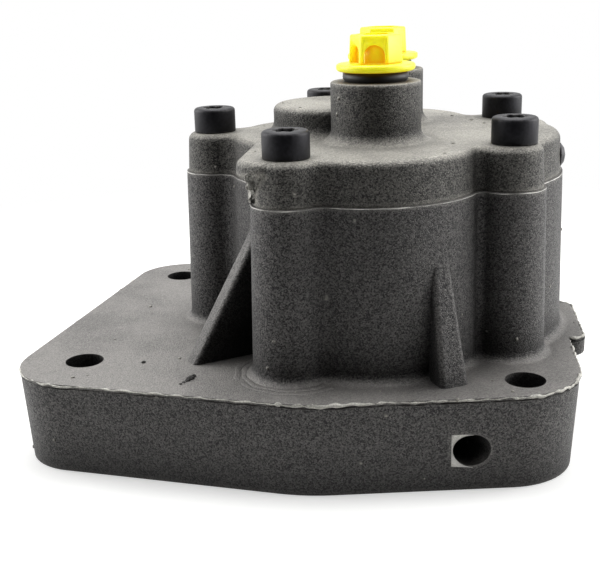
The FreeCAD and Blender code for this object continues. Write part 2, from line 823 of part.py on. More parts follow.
def place_value(expression):
    """The number of a plain or negative name of the sheet, such as -Sizes.port_y."""
    if expression == "0":
        return 0.0
    sign = -1.0 if expression.startswith("-") else 1.0
    return sign * size(expression.split("Sizes.")[1])


def make_dowels():
    pins = []
    for name, (x, y) in DOWELS.items():
        pins.append(cylinder(name + "_dowel", "Sizes.dowel_radius", "Sizes.dowel_length",
                             x=x, y=y, z=SPLIT + " - Sizes.dowel_length / 2"))
    item = doc.addObject("Part::Compound", "dowel_pins")
    item.Links = pins
    return item


# Gears

def tooth_curve(base_radius, radius):
    """The involute's turn from the base circle out to a radius."""
    roll = math.sqrt(max((radius / base_radius) ** 2 - 1, 0.0))
    return roll - math.atan(roll)


def gear_shape(bore, phase):
    """A spur gear of straight involute teeth, with its flanks as arcs."""
    teeth = int(size("gear_teeth"))
    module = size("gear_module")
    pitch = module * teeth / 2
    tip = pitch + module
    root = pitch - 1.25 * module
    base = pitch * math.cos(math.radians(20))
    half_tooth = math.pi / (2 * teeth) - size("gear_backlash") / (2 * pitch)
    at_pitch = tooth_curve(base, pitch)

    def flank(radius, angle, side):
        lean = half_tooth + at_pitch - tooth_curve(base, max(radius, base))
        return along(angle + side * lean, radius)

    edges = []
    middle = (max(base, root) + tip) / 2
    low = max(base, root + 0.2)
    for i in range(teeth):
        angle = phase + 2 * math.pi * i / teeth
        after = angle + 2 * math.pi / teeth
        start = flank(root, angle, -1)
        rise = flank(low, angle, -1)
        edges.append(Part.LineSegment(start, rise))
        edges.append(Part.Arc(rise, flank(middle, angle, -1), flank(tip, angle, -1)))
        edges.append(Part.Arc(flank(tip, angle, -1), along(angle, tip), flank(tip, angle, 1)))
        edges.append(Part.Arc(flank(tip, angle, 1), flank(middle, angle, 1), flank(low, angle, 1)))
        edges.append(Part.LineSegment(flank(low, angle, 1), flank(root, angle, 1)))
        edges.append(Part.Arc(flank(root, angle, 1), along((angle + after) / 2, root),
                              flank(root, after, -1)))
    outline = Part.Wire([edge.toShape() for edge in edges])
    blank = Part.Face(outline).extrude(V(0, 0, size("gear_width")))
    return blank.cut(Part.makeCylinder(bore, size("gear_width")))


def make_gears():
    gear_low = split - size("gear_side_gap") - size("gear_width")
    bore = size("shaft_radius") + size("dowel_gap")
    teeth = int(size("gear_teeth"))
    drive = doc.addObject("Part::Feature", "drive_gear")
    shape = gear_shape(bore, 0.0)
    slot = Part.makeBox(size("key_height"), size("key_width"), size("gear_width"),
                        V(size("shaft_radius") - size("key_height") / 2, -size("key_width") / 2, 0))
    drive.Shape = shape.cut(slot)
    drive.Placement = FreeCAD.Placement(V(0, 0, gear_low), FreeCAD.Rotation())
    phase = math.pi + math.pi / teeth
    driven = doc.addObject("Part::Feature", "driven_gear")
    driven.Shape = gear_shape(bore, phase)
    driven.Placement = FreeCAD.Placement(V(size("gear_distance"), 0, gear_low), FreeCAD.Rotation())


def make_key():
    """The feather key, half in the shaft and half in the gear."""
    return box("drive_key", "Sizes.key_height", "Sizes.key_width", "Sizes.key_length",
               x="Sizes.shaft_radius - Sizes.key_height / 2", y="-Sizes.key_width / 2",
               z=SPLIT + " - Sizes.gear_side_gap - Sizes.gear_width / 2 - Sizes.key_length / 2")


# Shafts and bushes

def make_drive_shaft():
    low = "(Sizes.pilot_depth + Sizes.shaft_recess)"
    high = SPLIT + " + Sizes.drive_cover_bush - Sizes.shaft_end_gap"
    radius = "Sizes.shaft_radius"
    blank = turned("drive_shaft_blank", [
        ("0", low), (radius + " - 0.6", low), (radius, low + " + 0.6"),
        (radius, high + " - 0.6"), (radius + " - 0.6", high), ("0", high)])
    slot = box("tang_slot", "2 * Sizes.shaft_radius + 2", "Sizes.tang_slot_width",
               "Sizes.tang_slot_depth", x="-Sizes.shaft_radius - 1",
               y="-Sizes.tang_slot_width / 2", z=low)
    keyway = box("keyway", "Sizes.key_height", "Sizes.key_width", "Sizes.key_length",
                 x="Sizes.shaft_radius - Sizes.key_height / 2", y="-Sizes.key_width / 2",
                 z=SPLIT + " - Sizes.gear_side_gap - Sizes.gear_width / 2 - Sizes.key_length / 2")
    return cut("drive_shaft", blank, fuse("shaft_cuts", [slot, keyway]))


def make_idler_shaft():
    low = "(" + GEAR_FLOOR + " - Sizes.body_bush_length + Sizes.shaft_end_gap)"
    high = "(" + SPLIT + " + Sizes.idler_cover_bush - Sizes.shaft_end_gap)"
    radius = "Sizes.shaft_radius"
    return turned("idler_shaft", [
        ("0", low), (radius + " - 0.6", low), (radius, low + " + 0.6"),
        (radius, high + " - 0.6"), (radius + " - 0.6", high), ("0", high)], x=IDLER_X)


def make_bushes():
    inner = "Sizes.shaft_radius + Sizes.running_gap"
    outer = BUSH_OUTER
    body_low = GEAR_FLOOR + " - Sizes.body_bush_length"
    tube("drive_body_bush", inner, outer, body_low, GEAR_FLOOR)
    tube("idler_body_bush", inner, outer, body_low, GEAR_FLOOR, x=IDLER_X)
    tube("drive_cover_bush", inner, outer, SPLIT, SPLIT + " + Sizes.drive_cover_bush")
    tube("idler_cover_bush", inner, outer, SPLIT, SPLIT + " + Sizes.idler_cover_bush", x=IDLER_X)


def make_shaft_seals():
    """Two lip seals, the ring that keeps them apart and the ring that holds them in."""
    inner = "Sizes.shaft_radius + Sizes.seal_lip_gap"
    hollow = "(Sizes.shaft_radius + Sizes.seal_bore) / 2"
    ring_low = "Sizes.pilot_depth"
    ring_high = ring_low + " + Sizes.ring_thickness"
    tube("retaining_ring", "Sizes.seal_bore - 2 * Sizes.ring_groove_depth",
         "Sizes.seal_bore + Sizes.ring_groove_depth - Sizes.running_gap", ring_low, ring_high)
    outer_high = ring_high + " + Sizes.seal_thickness"
    spacer_high = outer_high + " + Sizes.spacer_thickness"
    inner_high = spacer_high + " + Sizes.seal_thickness"
    for name, low, high in (("outer_shaft_seal", ring_high, outer_high),
                            ("inner_shaft_seal", spacer_high, inner_high)):
        web = high + " - 1"
        turned(name, [
            (hollow, low), ("Sizes.seal_bore", low), ("Sizes.seal_bore", high), (hollow, high),
            (inner, high), (inner, low + " + Sizes.seal_thickness / 3"),
            (inner + " + 0.8", low + " + Sizes.seal_thickness / 3"),
            (inner + " + 1.2", web), (hollow + " - 0.01", web)])
    tube("seal_spacer", "Sizes.seal_bore - 3", "Sizes.seal_bore", outer_high, spacer_high)


# Valves

def coil(label, wire, radius, pitch, low, high, x):
    """A round wire spring between two heights, upright."""
    helix = doc.addObject("Part::Helix", label + "_line")
    bind(helix, Pitch=pitch, Radius=radius,
         Height="(%s) - (%s) - 2 * (%s)" % (high, low, wire))
    section = doc.addObject("Part::Circle", label + "_wire")
    section.setExpression("Radius", wire)
    section.Placement = FreeCAD.Placement(V(0, 0, 0), FreeCAD.Rotation(V(1, 0, 0), 90))
    section.setExpression("Placement.Base.x", radius)
    sweep = doc.addObject("Part::Sweep", label)
    sweep.Sections = [section]
    sweep.Spine = (helix, [])
    sweep.Solid = True
    sweep.Frenet = True
    return place(sweep, x, "0", "(%s) + (%s)" % (low, wire))


def make_relief_valve():
    x = "Sizes.relief_x"
    floor = SPLIT + " - Sizes.relief_depth"
    seat_high = floor + " + Sizes.relief_seat_height"
    radius = "Sizes.relief_bore - Sizes.valve_gap"
    tube("relief_seat", "Sizes.relief_seat_hole", "Sizes.relief_bore", floor, seat_high, x=x)
    low = seat_high + " + Sizes.valve_gap"
    high = low + " + Sizes.relief_piston_length"
    cup = "Sizes.relief_coil + Sizes.relief_wire + Sizes.spring_gap"
    cup_floor = high + " - Sizes.relief_piston_cup"
    turned("relief_piston", [("0", low), (radius, low), (radius, high), (cup, high),
                             (cup, cup_floor), ("0", cup_floor)], x=x)
    coil("relief_spring", "Sizes.relief_wire", "Sizes.relief_coil", "Sizes.relief_pitch",
         cup_floor + " + Sizes.valve_gap", SPLIT + " - Sizes.valve_gap", x)


def make_check_valve():
    x = "-Sizes.check_x"
    floor = SPLIT + " - Sizes.check_depth"
    seat_high = floor + " + Sizes.check_seat_height"
    tube("check_seat", "Sizes.check_seat_hole", "Sizes.check_bore", floor, seat_high, x=x)
    ball = doc.addObject("Part::Sphere", "check_ball")
    ball.setExpression("Radius", "Sizes.check_ball")
    sink = "sqrt(Sizes.check_ball ^ 2 - Sizes.check_seat_hole ^ 2)"
    centre = "(" + seat_high + " + " + sink + " + Sizes.valve_gap)"
    place(ball, x, "0", centre)
    coil("check_spring", "Sizes.check_wire", "Sizes.check_coil", "Sizes.check_pitch",
         centre + " + Sizes.check_ball * 0.8", SPLIT + " - Sizes.valve_gap", x)


# Rings and plugs

def torus(label, radius, section, x="0", y="0", z="0"):
    item = doc.addObject("Part::Torus", label)
    bind(item, Radius1=radius, Radius2=section)
    return place(item, x, y, z)


def make_gallery_plug():
    plug = turned("gallery_plug", [
        ("0", "0"), ("Sizes.gallery_radius", "0"),
        ("Sizes.gallery_radius", "Sizes.gallery_plug_length"),
        ("Sizes.gallery_radius * 0.6", "Sizes.gallery_plug_length + Sizes.gallery_plug_dome * 0.7"),
        ("0", "Sizes.gallery_plug_length + Sizes.gallery_plug_dome")])
    plug.Placement = FreeCAD.Placement(V(0, 0, 0), FreeCAD.Rotation(V(0, 1, 0), 90))
    face_x = (IDLER_X + " + sqrt(Sizes.barrel_wall ^ 2 - Sizes.gallery_y ^ 2)"
              " - Sizes.cover_draft / 2 - Sizes.gallery_plug_length")
    return place(plug, face_x, "-Sizes.gallery_y", SPLIT + " + Sizes.gallery_height")


def make_transit_plug(name):
    """A screw-in plastic plug with a flange, a collar and a hexagon, and its sealing ring."""
    x, y = PORTS[name]
    rim = PORT_RIM + " + Sizes.plug_lift"
    flange_low = rim + " + 2 * Sizes.ring_section"
    flange_high = flange_low + " + Sizes.plug_flange_height"
    collar_high = flange_high + " + Sizes.plug_collar_height"
    thread = "Sizes.port_thread - Sizes.plug_thread_gap"
    neck = "Sizes.port_thread - 2 * Sizes.ring_section + 0.6"
    thread_low = rim + " - Sizes.plug_thread_length"
    thread_high = rim + " - 1.2"
    hollow = thread + " - Sizes.plug_wall"
    core = turned(name + "_plug_core", [
        ("0", flange_low), (hollow, flange_low), (hollow, thread_low), (thread, thread_low),
        (thread, thread_high), (neck, thread_high), (neck, flange_low),
        ("Sizes.plug_flange", flange_low), ("Sizes.plug_flange", flange_high),
        ("Sizes.plug_collar", flange_high), ("Sizes.plug_collar", collar_high),
        ("0", collar_high)], x=x, y=y)
    hexagon = doc.addObject("Part::Prism", name + "_plug_hexagon")
    hexagon.Polygon = 6
    bind(hexagon, Circumradius="Sizes.plug_hex", Height="Sizes.plug_hex_height")
    place(hexagon, x, y, collar_high)
    window = box(name + "_plug_window", "Sizes.plug_window_width", "Sizes.plug_window_depth",
                 "Sizes.plug_window_height", x=x + " - Sizes.plug_window_width / 2",
                 y=y + " - Sizes.plug_hex",
                 z=collar_high + " + Sizes.plug_hex_height / 2 - Sizes.plug_window_height / 2")
    cut(name + "_plug", fuse(name + "_plug_blank", [core, hexagon]), window)
    torus(name + "_plug_ring", neck + " + Sizes.ring_section", "Sizes.ring_section",
          x=x, y=y, z=rim + " + Sizes.ring_section")


make_body()
make_cover()
make_bolts()
make_dowels()
seal_ring_prism("cover_seal", SPLIT + " - Sizes.groove_depth", "Sizes.groove_depth",
                size("valve_gap"))
make_gears()
make_key()
make_drive_shaft()
make_idler_shaft()
make_bushes()
make_shaft_seals()
make_relief_valve()
make_check_valve()
make_gallery_plug()
torus("mounting_ring", "Sizes.face_ring_radius", "Sizes.face_ring_section",
      z="Sizes.face_ring_section")
for port in PORTS:
    make_transit_plug(port)
doc.recompute()

NODES = [
    "pump_body", "pump_cover", "cover_bolts", "dowel_pins", "cover_seal",
    "drive_shaft", "drive_gear", "drive_key", "idler_shaft", "driven_gear",
    "drive_body_bush", "idler_body_bush", "drive_cover_bush", "idler_cover_bush",
    "retaining_ring", "outer_shaft_seal", "seal_spacer", "inner_shaft_seal",
    "relief_seat", "relief_piston", "relief_spring",
    "check_seat", "check_ball", "check_spring",
    "gallery_plug", "mounting_ring",
    "inlet_plug", "inlet_plug_ring", "outlet_plug", "outlet_plug_ring",
]

# Every object has to be sound before anything is written

failed = [item.Label for item in doc.Objects
          if "Invalid" in item.State or "Error" in item.State]
if failed:
    raise RuntimeError("these objects failed: " + ", ".join(failed))

os.makedirs("parts", exist_ok=True)
for label in NODES:
    shape = doc.getObjectsByLabel(label)[0].Shape
    if shape.isNull() or not shape.isValid() or not shape.Solids:
        raise RuntimeError(label + " has no sound shape")
    shape.exportStep("parts/" + label + ".step")
    box_of_shape = shape.BoundBox
    print("%-18s %d solid, %9.1f mm3, x %.1f..%.1f, y %.1f..%.1f, z %.1f..%.1f" % (
        label, len(shape.Solids), shape.Volume, box_of_shape.XMin, box_of_shape.XMax,
        box_of_shape.YMin, box_of_shape.YMax, box_of_shape.ZMin, box_of_shape.ZMax))
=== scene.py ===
# %% [markdown]
# Fuel feed pump: a cast iron gear pump with a flange, a cover held by five
# black screws, and two yellow transit plugs in its ports. The CAD model is
# the frame. It already has the right shapes and sizes, so this lesson gives
# it cameras, light and finishes, and builds the details that a solid model
# leaves plain.

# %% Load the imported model
import bpy
import bmesh
import json
import math
import random
from mathutils import Matrix, Vector, noise

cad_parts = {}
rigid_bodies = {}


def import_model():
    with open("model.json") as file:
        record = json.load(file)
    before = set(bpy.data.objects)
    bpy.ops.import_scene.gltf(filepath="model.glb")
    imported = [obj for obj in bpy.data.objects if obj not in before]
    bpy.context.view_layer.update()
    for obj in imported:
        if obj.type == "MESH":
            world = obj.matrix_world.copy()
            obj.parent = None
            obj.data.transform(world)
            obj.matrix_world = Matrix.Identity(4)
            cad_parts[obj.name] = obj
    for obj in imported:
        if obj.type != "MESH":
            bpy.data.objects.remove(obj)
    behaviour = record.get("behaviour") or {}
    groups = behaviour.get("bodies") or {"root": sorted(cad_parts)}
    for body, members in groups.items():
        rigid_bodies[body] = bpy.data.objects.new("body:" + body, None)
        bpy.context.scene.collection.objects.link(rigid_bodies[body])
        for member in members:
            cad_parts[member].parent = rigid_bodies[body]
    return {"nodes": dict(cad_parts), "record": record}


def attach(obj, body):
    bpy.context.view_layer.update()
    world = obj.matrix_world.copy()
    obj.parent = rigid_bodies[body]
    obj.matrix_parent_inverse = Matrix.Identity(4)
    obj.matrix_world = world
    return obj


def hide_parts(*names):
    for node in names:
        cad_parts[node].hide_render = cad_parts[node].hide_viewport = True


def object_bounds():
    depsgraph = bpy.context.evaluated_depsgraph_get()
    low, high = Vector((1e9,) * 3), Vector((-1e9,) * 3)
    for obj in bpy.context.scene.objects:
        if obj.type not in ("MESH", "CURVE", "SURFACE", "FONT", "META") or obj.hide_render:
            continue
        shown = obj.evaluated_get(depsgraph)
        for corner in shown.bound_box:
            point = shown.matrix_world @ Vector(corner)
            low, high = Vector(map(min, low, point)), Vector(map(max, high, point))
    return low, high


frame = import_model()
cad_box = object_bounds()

# Vector noise starts from the clock unless it is given a seed.
noise.seed_set(11)

nodes = frame["nodes"]
print("CAD nodes:", len(nodes))

# %% [markdown]
# The camera stands where the photographer stood. Its place, direction and
# lens come from fitting a pinhole camera to the outlines in the photograph,
# so nothing here has to be adjusted by eye. It looks down on the pump by
# about 17 degrees and a little from its right.

# %% Camera
MM = 0.001
LENS = 60.14
SENSOR = 36
CAMERA_AT = Vector((24.12, -251.65, 107.69)) * MM
PITCH = math.radians(16.82)
YAW = math.radians(-7.77)
ROLL = math.radians(-1.62)

forward = Vector((math.sin(YAW) * math.cos(PITCH),
                  math.cos(YAW) * math.cos(PITCH),
                  -math.sin(PITCH)))
level_right = Vector((math.cos(YAW), -math.sin(YAW), 0))
level_up = level_right.cross(forward)
right = level_right * math.cos(ROLL) + level_up * math.sin(ROLL)
up = level_up * math.cos(ROLL) - level_right * math.sin(ROLL)

camera_data = bpy.data.cameras.new("camera")
camera_data.lens = LENS
camera_data.sensor_width = SENSOR
camera_data.clip_start = 0.01
camera_data.clip_end = 10
camera = bpy.data.objects.new("camera", camera_data)
bpy.context.scene.collection.objects.link(camera)
camera.matrix_world = (Matrix.Translation(CAMERA_AT)
                       @ Matrix((right, up, -forward)).transposed().to_4x4())
bpy.context.scene.camera = camera
bpy.context.scene.view_settings.view_transform = "Standard"
print("camera at", [round(c, 4) for c in CAMERA_AT], "m")

# %% [markdown]
# A material is a small graph of nodes. One function turns the colours, which
# are written as sRGB hex as a paint chart gives them, into the linear light
# that the shader wants. Another adds a node with its settings and links, so
# each finish below reads as a short recipe.

# %% Two helpers for materials
def linear(colour):
    channels = [int(colour[i:i + 2], 16) / 255 for i in (1, 3, 5)]
    return [c / 12.92 if c <= 0.04045 else ((c + 0.055) / 1.055) ** 2.4
            for c in channels] + [1]


def add(material, kind, inputs=None, **settings):
    node = material.node_tree.nodes.new(kind)
    for name, value in settings.items():
        setattr(node, name, value)
    for name, value in (inputs or {}).items():
        if isinstance(value, bpy.types.NodeSocket):
            material.node_tree.links.new(value, node.inputs[name])
        else:
            node.inputs[name].default_value = value
    return node


def new_material(name):
    material = bpy.data.materials.new(name)
    material.use_nodes = True
    material.node_tree.nodes.clear()
    return material


def per_metre(millimetres):
    return 1 / (millimetres * MM)


def ramp(material, factor, stops):
    node = add(material, "ShaderNodeValToRGB", {"Fac": factor})
    elements = node.color_ramp.elements
    while len(elements) < len(stops):
        elements.new(0.5)
    for element, (position, colour) in zip(elements, stops):
        element.position = position
        element.color = linear(colour)
    return node.outputs["Color"]


print("a 0.32 mm grain has scale", per_metre(0.32))

# %% [markdown]
# The housing is grey cast iron, shot-blasted and lightly oiled. The blast leaves a crisp
# grit. Real blast pits are finer than the picture can show, so they are drawn about a
# third of a millimetre wide. The skin is dark and speckled. Faces that turn upwards take a
# paler colour, which is painted top light for the lamp overhead. Convex corners are
# painted brighter, partly wear and partly a painted highlight, and roots are painted
# darker, which is painted shade. Ambient occlusion finds both: looked for inside the metal
# it finds the corners, and outside it finds the roots. The same recipe in other colours
# gives the cover, torn flash, freshly cut iron, and a near-black iron that paints the
# shade under the flash and in small pits.

# %% Shot-blasted cast iron
GRAIN_MM = 0.32
GRIT_MM = 0.27
CORNER_MM = 1.3
ROOT_MM = 14


def cast_iron(name, dark, pale, lit_top_colour):
    material = new_material(name)
    place = add(material, "ShaderNodeTexCoord").outputs["Object"]
    grain = add(material, "ShaderNodeTexNoise",
                {"Vector": place, "Scale": per_metre(GRAIN_MM), "Detail": 2,
                 "Roughness": 0.6})
    grit = add(material, "ShaderNodeTexVoronoi",
               {"Vector": place, "Scale": per_metre(GRIT_MM)})
    chance = add(material, "ShaderNodeSeparateColor",
                 {"Color": grit.outputs["Color"]})
    speck = add(material, "ShaderNodeMix",
                {"Factor": 0.5, "A": grain.outputs["Fac"],
                 "B": chance.outputs["Red"]})
    cloud = add(material, "ShaderNodeTexNoise",
                {"Vector": place, "Scale": per_metre(16), "Detail": 4})
    skin = ramp(material, speck.outputs["Result"],
                [(0.3, dark), (0.85, pale)])
    lit_and_worn_colour = ramp(material, speck.outputs["Result"],
                  [(0.2, pale), (0.75, lit_top_colour)])
    # Painted top light: the more a face turns upwards, the more it takes the paler ramp.
    normal = add(material, "ShaderNodeNewGeometry").outputs["Normal"]
    height = add(material, "ShaderNodeSeparateXYZ", {"Vector": normal})
    lit_top_mask = add(material, "ShaderNodeMapRange",
                 {"Value": height.outputs["Z"], "From Min": 0.25,
                  "From Max": 0.9, "To Max": 0.9})
    # Convex corners also take the paler ramp: partly wear, partly a painted highlight.
    inside = add(material, "ShaderNodeAmbientOcclusion",
                 {"Distance": CORNER_MM * MM}, samples=6, inside=True)
    corner = add(material, "ShaderNodeMapRange",
                 {"Value": inside.outputs["AO"], "From Min": 0.93,
                  "From Max": 0.55, "To Max": 0.75})
    lit_top_and_worn_edge = add(material, "ShaderNodeMath",
               {0: lit_top_mask.outputs["Result"], 1: corner.outputs["Result"]},
               operation="MAXIMUM")
    broken = add(material, "ShaderNodeMapRange",
                 {"Value": cloud.outputs["Fac"], "From Min": 0.3,
                  "From Max": 0.55, "To Min": 0.55})
    lit_and_worn_share = add(material, "ShaderNodeMath",
              {0: lit_top_and_worn_edge.outputs["Value"], 1: broken.outputs["Result"]},
              operation="MULTIPLY")
    surface = add(material, "ShaderNodeMix",
                  {"Factor": lit_and_worn_share.outputs["Value"], "A": skin, "B": lit_and_worn_colour},
                  data_type="RGBA")
    # Painted shade: ambient occlusion darkens roots and hollows, less on upward faces.
    painted_shade_ao = add(material, "ShaderNodeAmbientOcclusion",
                 {"Distance": ROOT_MM * MM}, samples=8)
    least = add(material, "ShaderNodeMapRange",
                {"Value": lit_top_mask.outputs["Result"], "To Min": 0.12,
                 "To Max": 0.5})
    root = add(material, "ShaderNodeMapRange",
               {"Value": painted_shade_ao.outputs["AO"], "From Min": 0.3,
                "From Max": 0.95, "To Min": least.outputs["Result"]})
    colour = add(material, "ShaderNodeVectorMath",
                 {0: surface.outputs["Result"], 1: root.outputs["Result"]},
                 operation="MULTIPLY")
    gloss = add(material, "ShaderNodeMapRange",
                {"Value": grain.outputs["Fac"], "To Min": 0.42, "To Max": 0.68})
    tooth = add(material, "ShaderNodeMath",
                {0: speck.outputs["Result"], 1: grit.outputs["Distance"]},
                operation="SUBTRACT")
    bump = add(material, "ShaderNodeBump",
               {"Height": tooth.outputs["Value"], "Strength": 0.6,
                "Distance": 0.2 * MM})
    shader = add(material, "ShaderNodeBsdfPrincipled",
                 {"Base Color": colour.outputs["Vector"],
                  "Roughness": gloss.outputs["Result"], "Metallic": 0.5,
                  "Normal": bump.outputs["Normal"]})
    add(material, "ShaderNodeOutputMaterial",
        {"Surface": shader.outputs["BSDF"]})
    return material


# Body and cover share the recipe; the cover's painted top light is paler than the body's.
body_iron = cast_iron("shot_blasted_cast_iron", "#1a191b", "#73716f",
                      "#918e8a")
cover_iron = cast_iron("shot_blasted_cover_iron", "#1a191a", "#7a7873",
                       "#b0ada4")
torn_iron = cast_iron("torn_casting_iron", "#4d4b47", "#b5b3ac", "#d8d6ce")
bare_iron = cast_iron("freshly_cut_cast_iron", "#b4b2ac", "#e4e2dc", "#efede8")
# Near-black iron for painted shade, under the flash and in the scab's pits.
painted_shade_iron = cast_iron("near_black_painted_shade", "#0b0a0a", "#1f1d1b", "#2a2826")
print("made", body_iron.name, cover_iron.name, torn_iron.name,
      bare_iron.name, painted_shade_iron.name)

# %% [markdown]
# Every other piece gets its own finish too, also those inside the pump that
# show only when it is opened. They share one recipe: a base colour that
# drifts a little, fine marks of the tool or the mould, and a roughness that
# follows them. Ground steel is bright with rings round its axis, spring wire
# is a darker oil-tempered grey, sintered bronze is warm and slightly matt,
# nitrile rubber is soft black, and phosphated steel is a dull dark grey.

# %% Turned, ground and moulded finishes
def plain_finish(name, low, high, metallic, rough, grain_mm, stretch,
                 bump_mm, **sockets):
    material = new_material(name)
    place = add(material, "ShaderNodeTexCoord").outputs["Object"]
    turned = add(material, "ShaderNodeMapping",
                 {"Vector": place, "Scale": stretch})
    marks = add(material, "ShaderNodeTexNoise",
                {"Vector": turned.outputs["Vector"],
                 "Scale": per_metre(grain_mm), "Detail": 3})
    colour = ramp(material, marks.outputs["Fac"], [(0.3, low), (0.7, high)])
    gloss = add(material, "ShaderNodeMapRange",
                {"Value": marks.outputs["Fac"], "To Min": rough * 0.75,
                 "To Max": rough * 1.25})
    bump = add(material, "ShaderNodeBump",
               {"Height": marks.outputs["Fac"], "Strength": 0.5,
                "Distance": bump_mm * MM})
    inputs = {"Base Color": colour, "Metallic": metallic,
              "Roughness": gloss.outputs["Result"],
              "Normal": bump.outputs["Normal"]}
    inputs.update(sockets)
    shader = add(material, "ShaderNodeBsdfPrincipled", inputs)
    add(material, "ShaderNodeOutputMaterial",
        {"Surface": shader.outputs["BSDF"]})
    return material


EVEN = (1, 1, 1)
ALONG_Z = (1, 1, 0.1)
ROUND_Z = (1, 1, 6)
ground_steel = plain_finish("ground_hardened_steel", "#8d8f92", "#b4b6b8",
                            1.0, 0.25, 0.6, ROUND_Z, 0.004)
spring_wire = plain_finish("oil_tempered_spring_wire", "#4c4d50", "#6d6f72",
                           1.0, 0.35, 0.7, EVEN, 0.01)
bronze = plain_finish("sintered_bronze", "#8a6238", "#b3854e", 1.0, 0.42,
                      0.5, EVEN, 0.02)
rubber = plain_finish("black_nitrile_rubber", "#101012", "#1d1d1e", 0.0,
                      0.5, 1.2, EVEN, 0.02)
dark_plug = plain_finish("phosphated_steel", "#38373a", "#4a494b", 0.6,
                         0.5, 0.8, EVEN, 0.03)
print("finishes:", len(bpy.data.materials))

# %% [markdown]
# The screws are alloy steel, blackened in a hot salt bath. The black skin is thin and a
# little grainy. It turns grey at the edge of the head, partly wear and partly a painted
# highlight on the rounded rim, and the socket is darkened by painted shade.

# %% Black oxide
black_oxide = new_material("black_oxide_alloy_steel")
place = add(black_oxide, "ShaderNodeTexCoord").outputs["Object"]
skin = add(black_oxide, "ShaderNodeTexNoise",
           {"Vector": place, "Scale": per_metre(0.7), "Detail": 3})
dull = ramp(black_oxide, skin.outputs["Fac"],
            [(0.35, "#101015"), (0.7, "#1f1e24")])
grey = ramp(black_oxide, skin.outputs["Fac"],
            [(0.35, "#3a383b"), (0.65, "#8a8783")])
# The edge of the head turns grey: partly wear, partly a painted highlight.
inside = add(black_oxide, "ShaderNodeAmbientOcclusion",
             {"Distance": 0.8 * MM}, samples=6, inside=True)
corner = add(black_oxide, "ShaderNodeMapRange",
             {"Value": inside.outputs["AO"], "From Min": 0.92,
              "From Max": 0.5, "To Max": 0.55})
blend = add(black_oxide, "ShaderNodeMix",
            {"Factor": corner.outputs["Result"], "A": dull, "B": grey},
            data_type="RGBA")
# Painted shade: ambient occlusion darkens the socket and the roots.
painted_shade_ao = add(black_oxide, "ShaderNodeAmbientOcclusion",
             {"Distance": 3 * MM}, samples=6)
socket_shaded = add(black_oxide, "ShaderNodeVectorMath",
            {0: blend.outputs["Result"], 1: painted_shade_ao.outputs["AO"]},
            operation="MULTIPLY")
matte = add(black_oxide, "ShaderNodeMapRange",
            {"Value": skin.outputs["Fac"], "To Min": 0.38, "To Max": 0.6})
bump = add(black_oxide, "ShaderNodeBump",
           {"Height": skin.outputs["Fac"], "Strength": 0.5,
            "Distance": 0.05 * MM})
shader = add(black_oxide, "ShaderNodeBsdfPrincipled",
             {"Base Color": socket_shaded.outputs["Vector"], "Metallic": 0.5,
              "Roughness": matte.outputs["Result"],
              "Normal": bump.outputs["Normal"]})
add(black_oxide, "ShaderNodeOutputMaterial",
    {"Surface": shader.outputs["BSDF"]})
print("made", black_oxide.name)

# %% [markdown]
# The transit plugs are injection-moulded low-density polyethylene. It is waxy and lets
# light soak through, so light comes out of the shaded walls too. That is subsurface
# scattering. A little emission on top of it is a painted glow that stands for the light
# soaking through the hollow cap. Where the walls stand close, as in a niche, ambient
# occlusion paints the colour a deeper orange: painted shade for light that has gone
# further through the plastic.

# %% Yellow polyethylene
yellow = new_material("yellow_polyethylene")
place = add(yellow, "ShaderNodeTexCoord").outputs["Object"]
flow = add(yellow, "ShaderNodeTexNoise",
           {"Vector": place, "Scale": per_metre(3), "Detail": 3})
clear = ramp(yellow, flow.outputs["Fac"], [(0.3, "#f9f22c"), (0.7, "#fdfc38")])
painted_niche_orange = ramp(yellow, flow.outputs["Fac"], [(0.3, "#dfae14"), (0.7, "#e8bd18")])
# Painted shade: ambient occlusion mixes in the deeper orange where walls stand close.
painted_shade_ao = add(yellow, "ShaderNodeAmbientOcclusion",
             {"Distance": 3 * MM}, samples=8)
open_air = add(yellow, "ShaderNodeMapRange",
               {"Value": painted_shade_ao.outputs["AO"], "From Min": 0.45,
                "From Max": 0.9})
shaded_and_glowing_yellow = add(yellow, "ShaderNodeMix",
             {"Factor": open_air.outputs["Result"], "A": painted_niche_orange, "B": clear},
             data_type="RGBA")
waxy = add(yellow, "ShaderNodeMapRange",
           {"Value": flow.outputs["Fac"], "To Min": 0.3, "To Max": 0.45})
ripple = add(yellow, "ShaderNodeBump",
             {"Height": flow.outputs["Fac"], "Strength": 0.4,
              "Distance": 0.03 * MM})
# The emission is a painted glow for light soaking through the hollow cap.
shader = add(yellow, "ShaderNodeBsdfPrincipled",
             {"Base Color": shaded_and_glowing_yellow.outputs["Result"],
              "Roughness": waxy.outputs["Result"],
              "Normal": ripple.outputs["Normal"],
              "Subsurface Weight": 0.7, "Subsurface Scale": 4 * MM,
              "Subsurface Radius": (1.0, 0.85, 0.1),
              "Emission Color": shaded_and_glowing_yellow.outputs["Result"],
              "Emission Strength": 0.3})
add(yellow, "ShaderNodeOutputMaterial", {"Surface": shader.outputs["BSDF"]})
print("made", yellow.name)

# %% Give each CAD node its finish
FINISH = {
    "casting_iron": body_iron, "bolt_black": black_oxide,
    "ground_steel": ground_steel, "spring_steel": spring_wire,
    "plug_steel": dark_plug, "bush_bronze": bronze,
    "seal_rubber": rubber, "transit_yellow": yellow,
}
slot_of = {part["node"]: part["material_slot"]
           for part in frame["record"]["subparts"]}
for name, node in nodes.items():
    node.data.materials.clear()
    node.data.materials.append(FINISH[slot_of[name]])
nodes["pump_cover"].data.materials[0] = cover_iron
print("finished nodes:", len(slot_of))

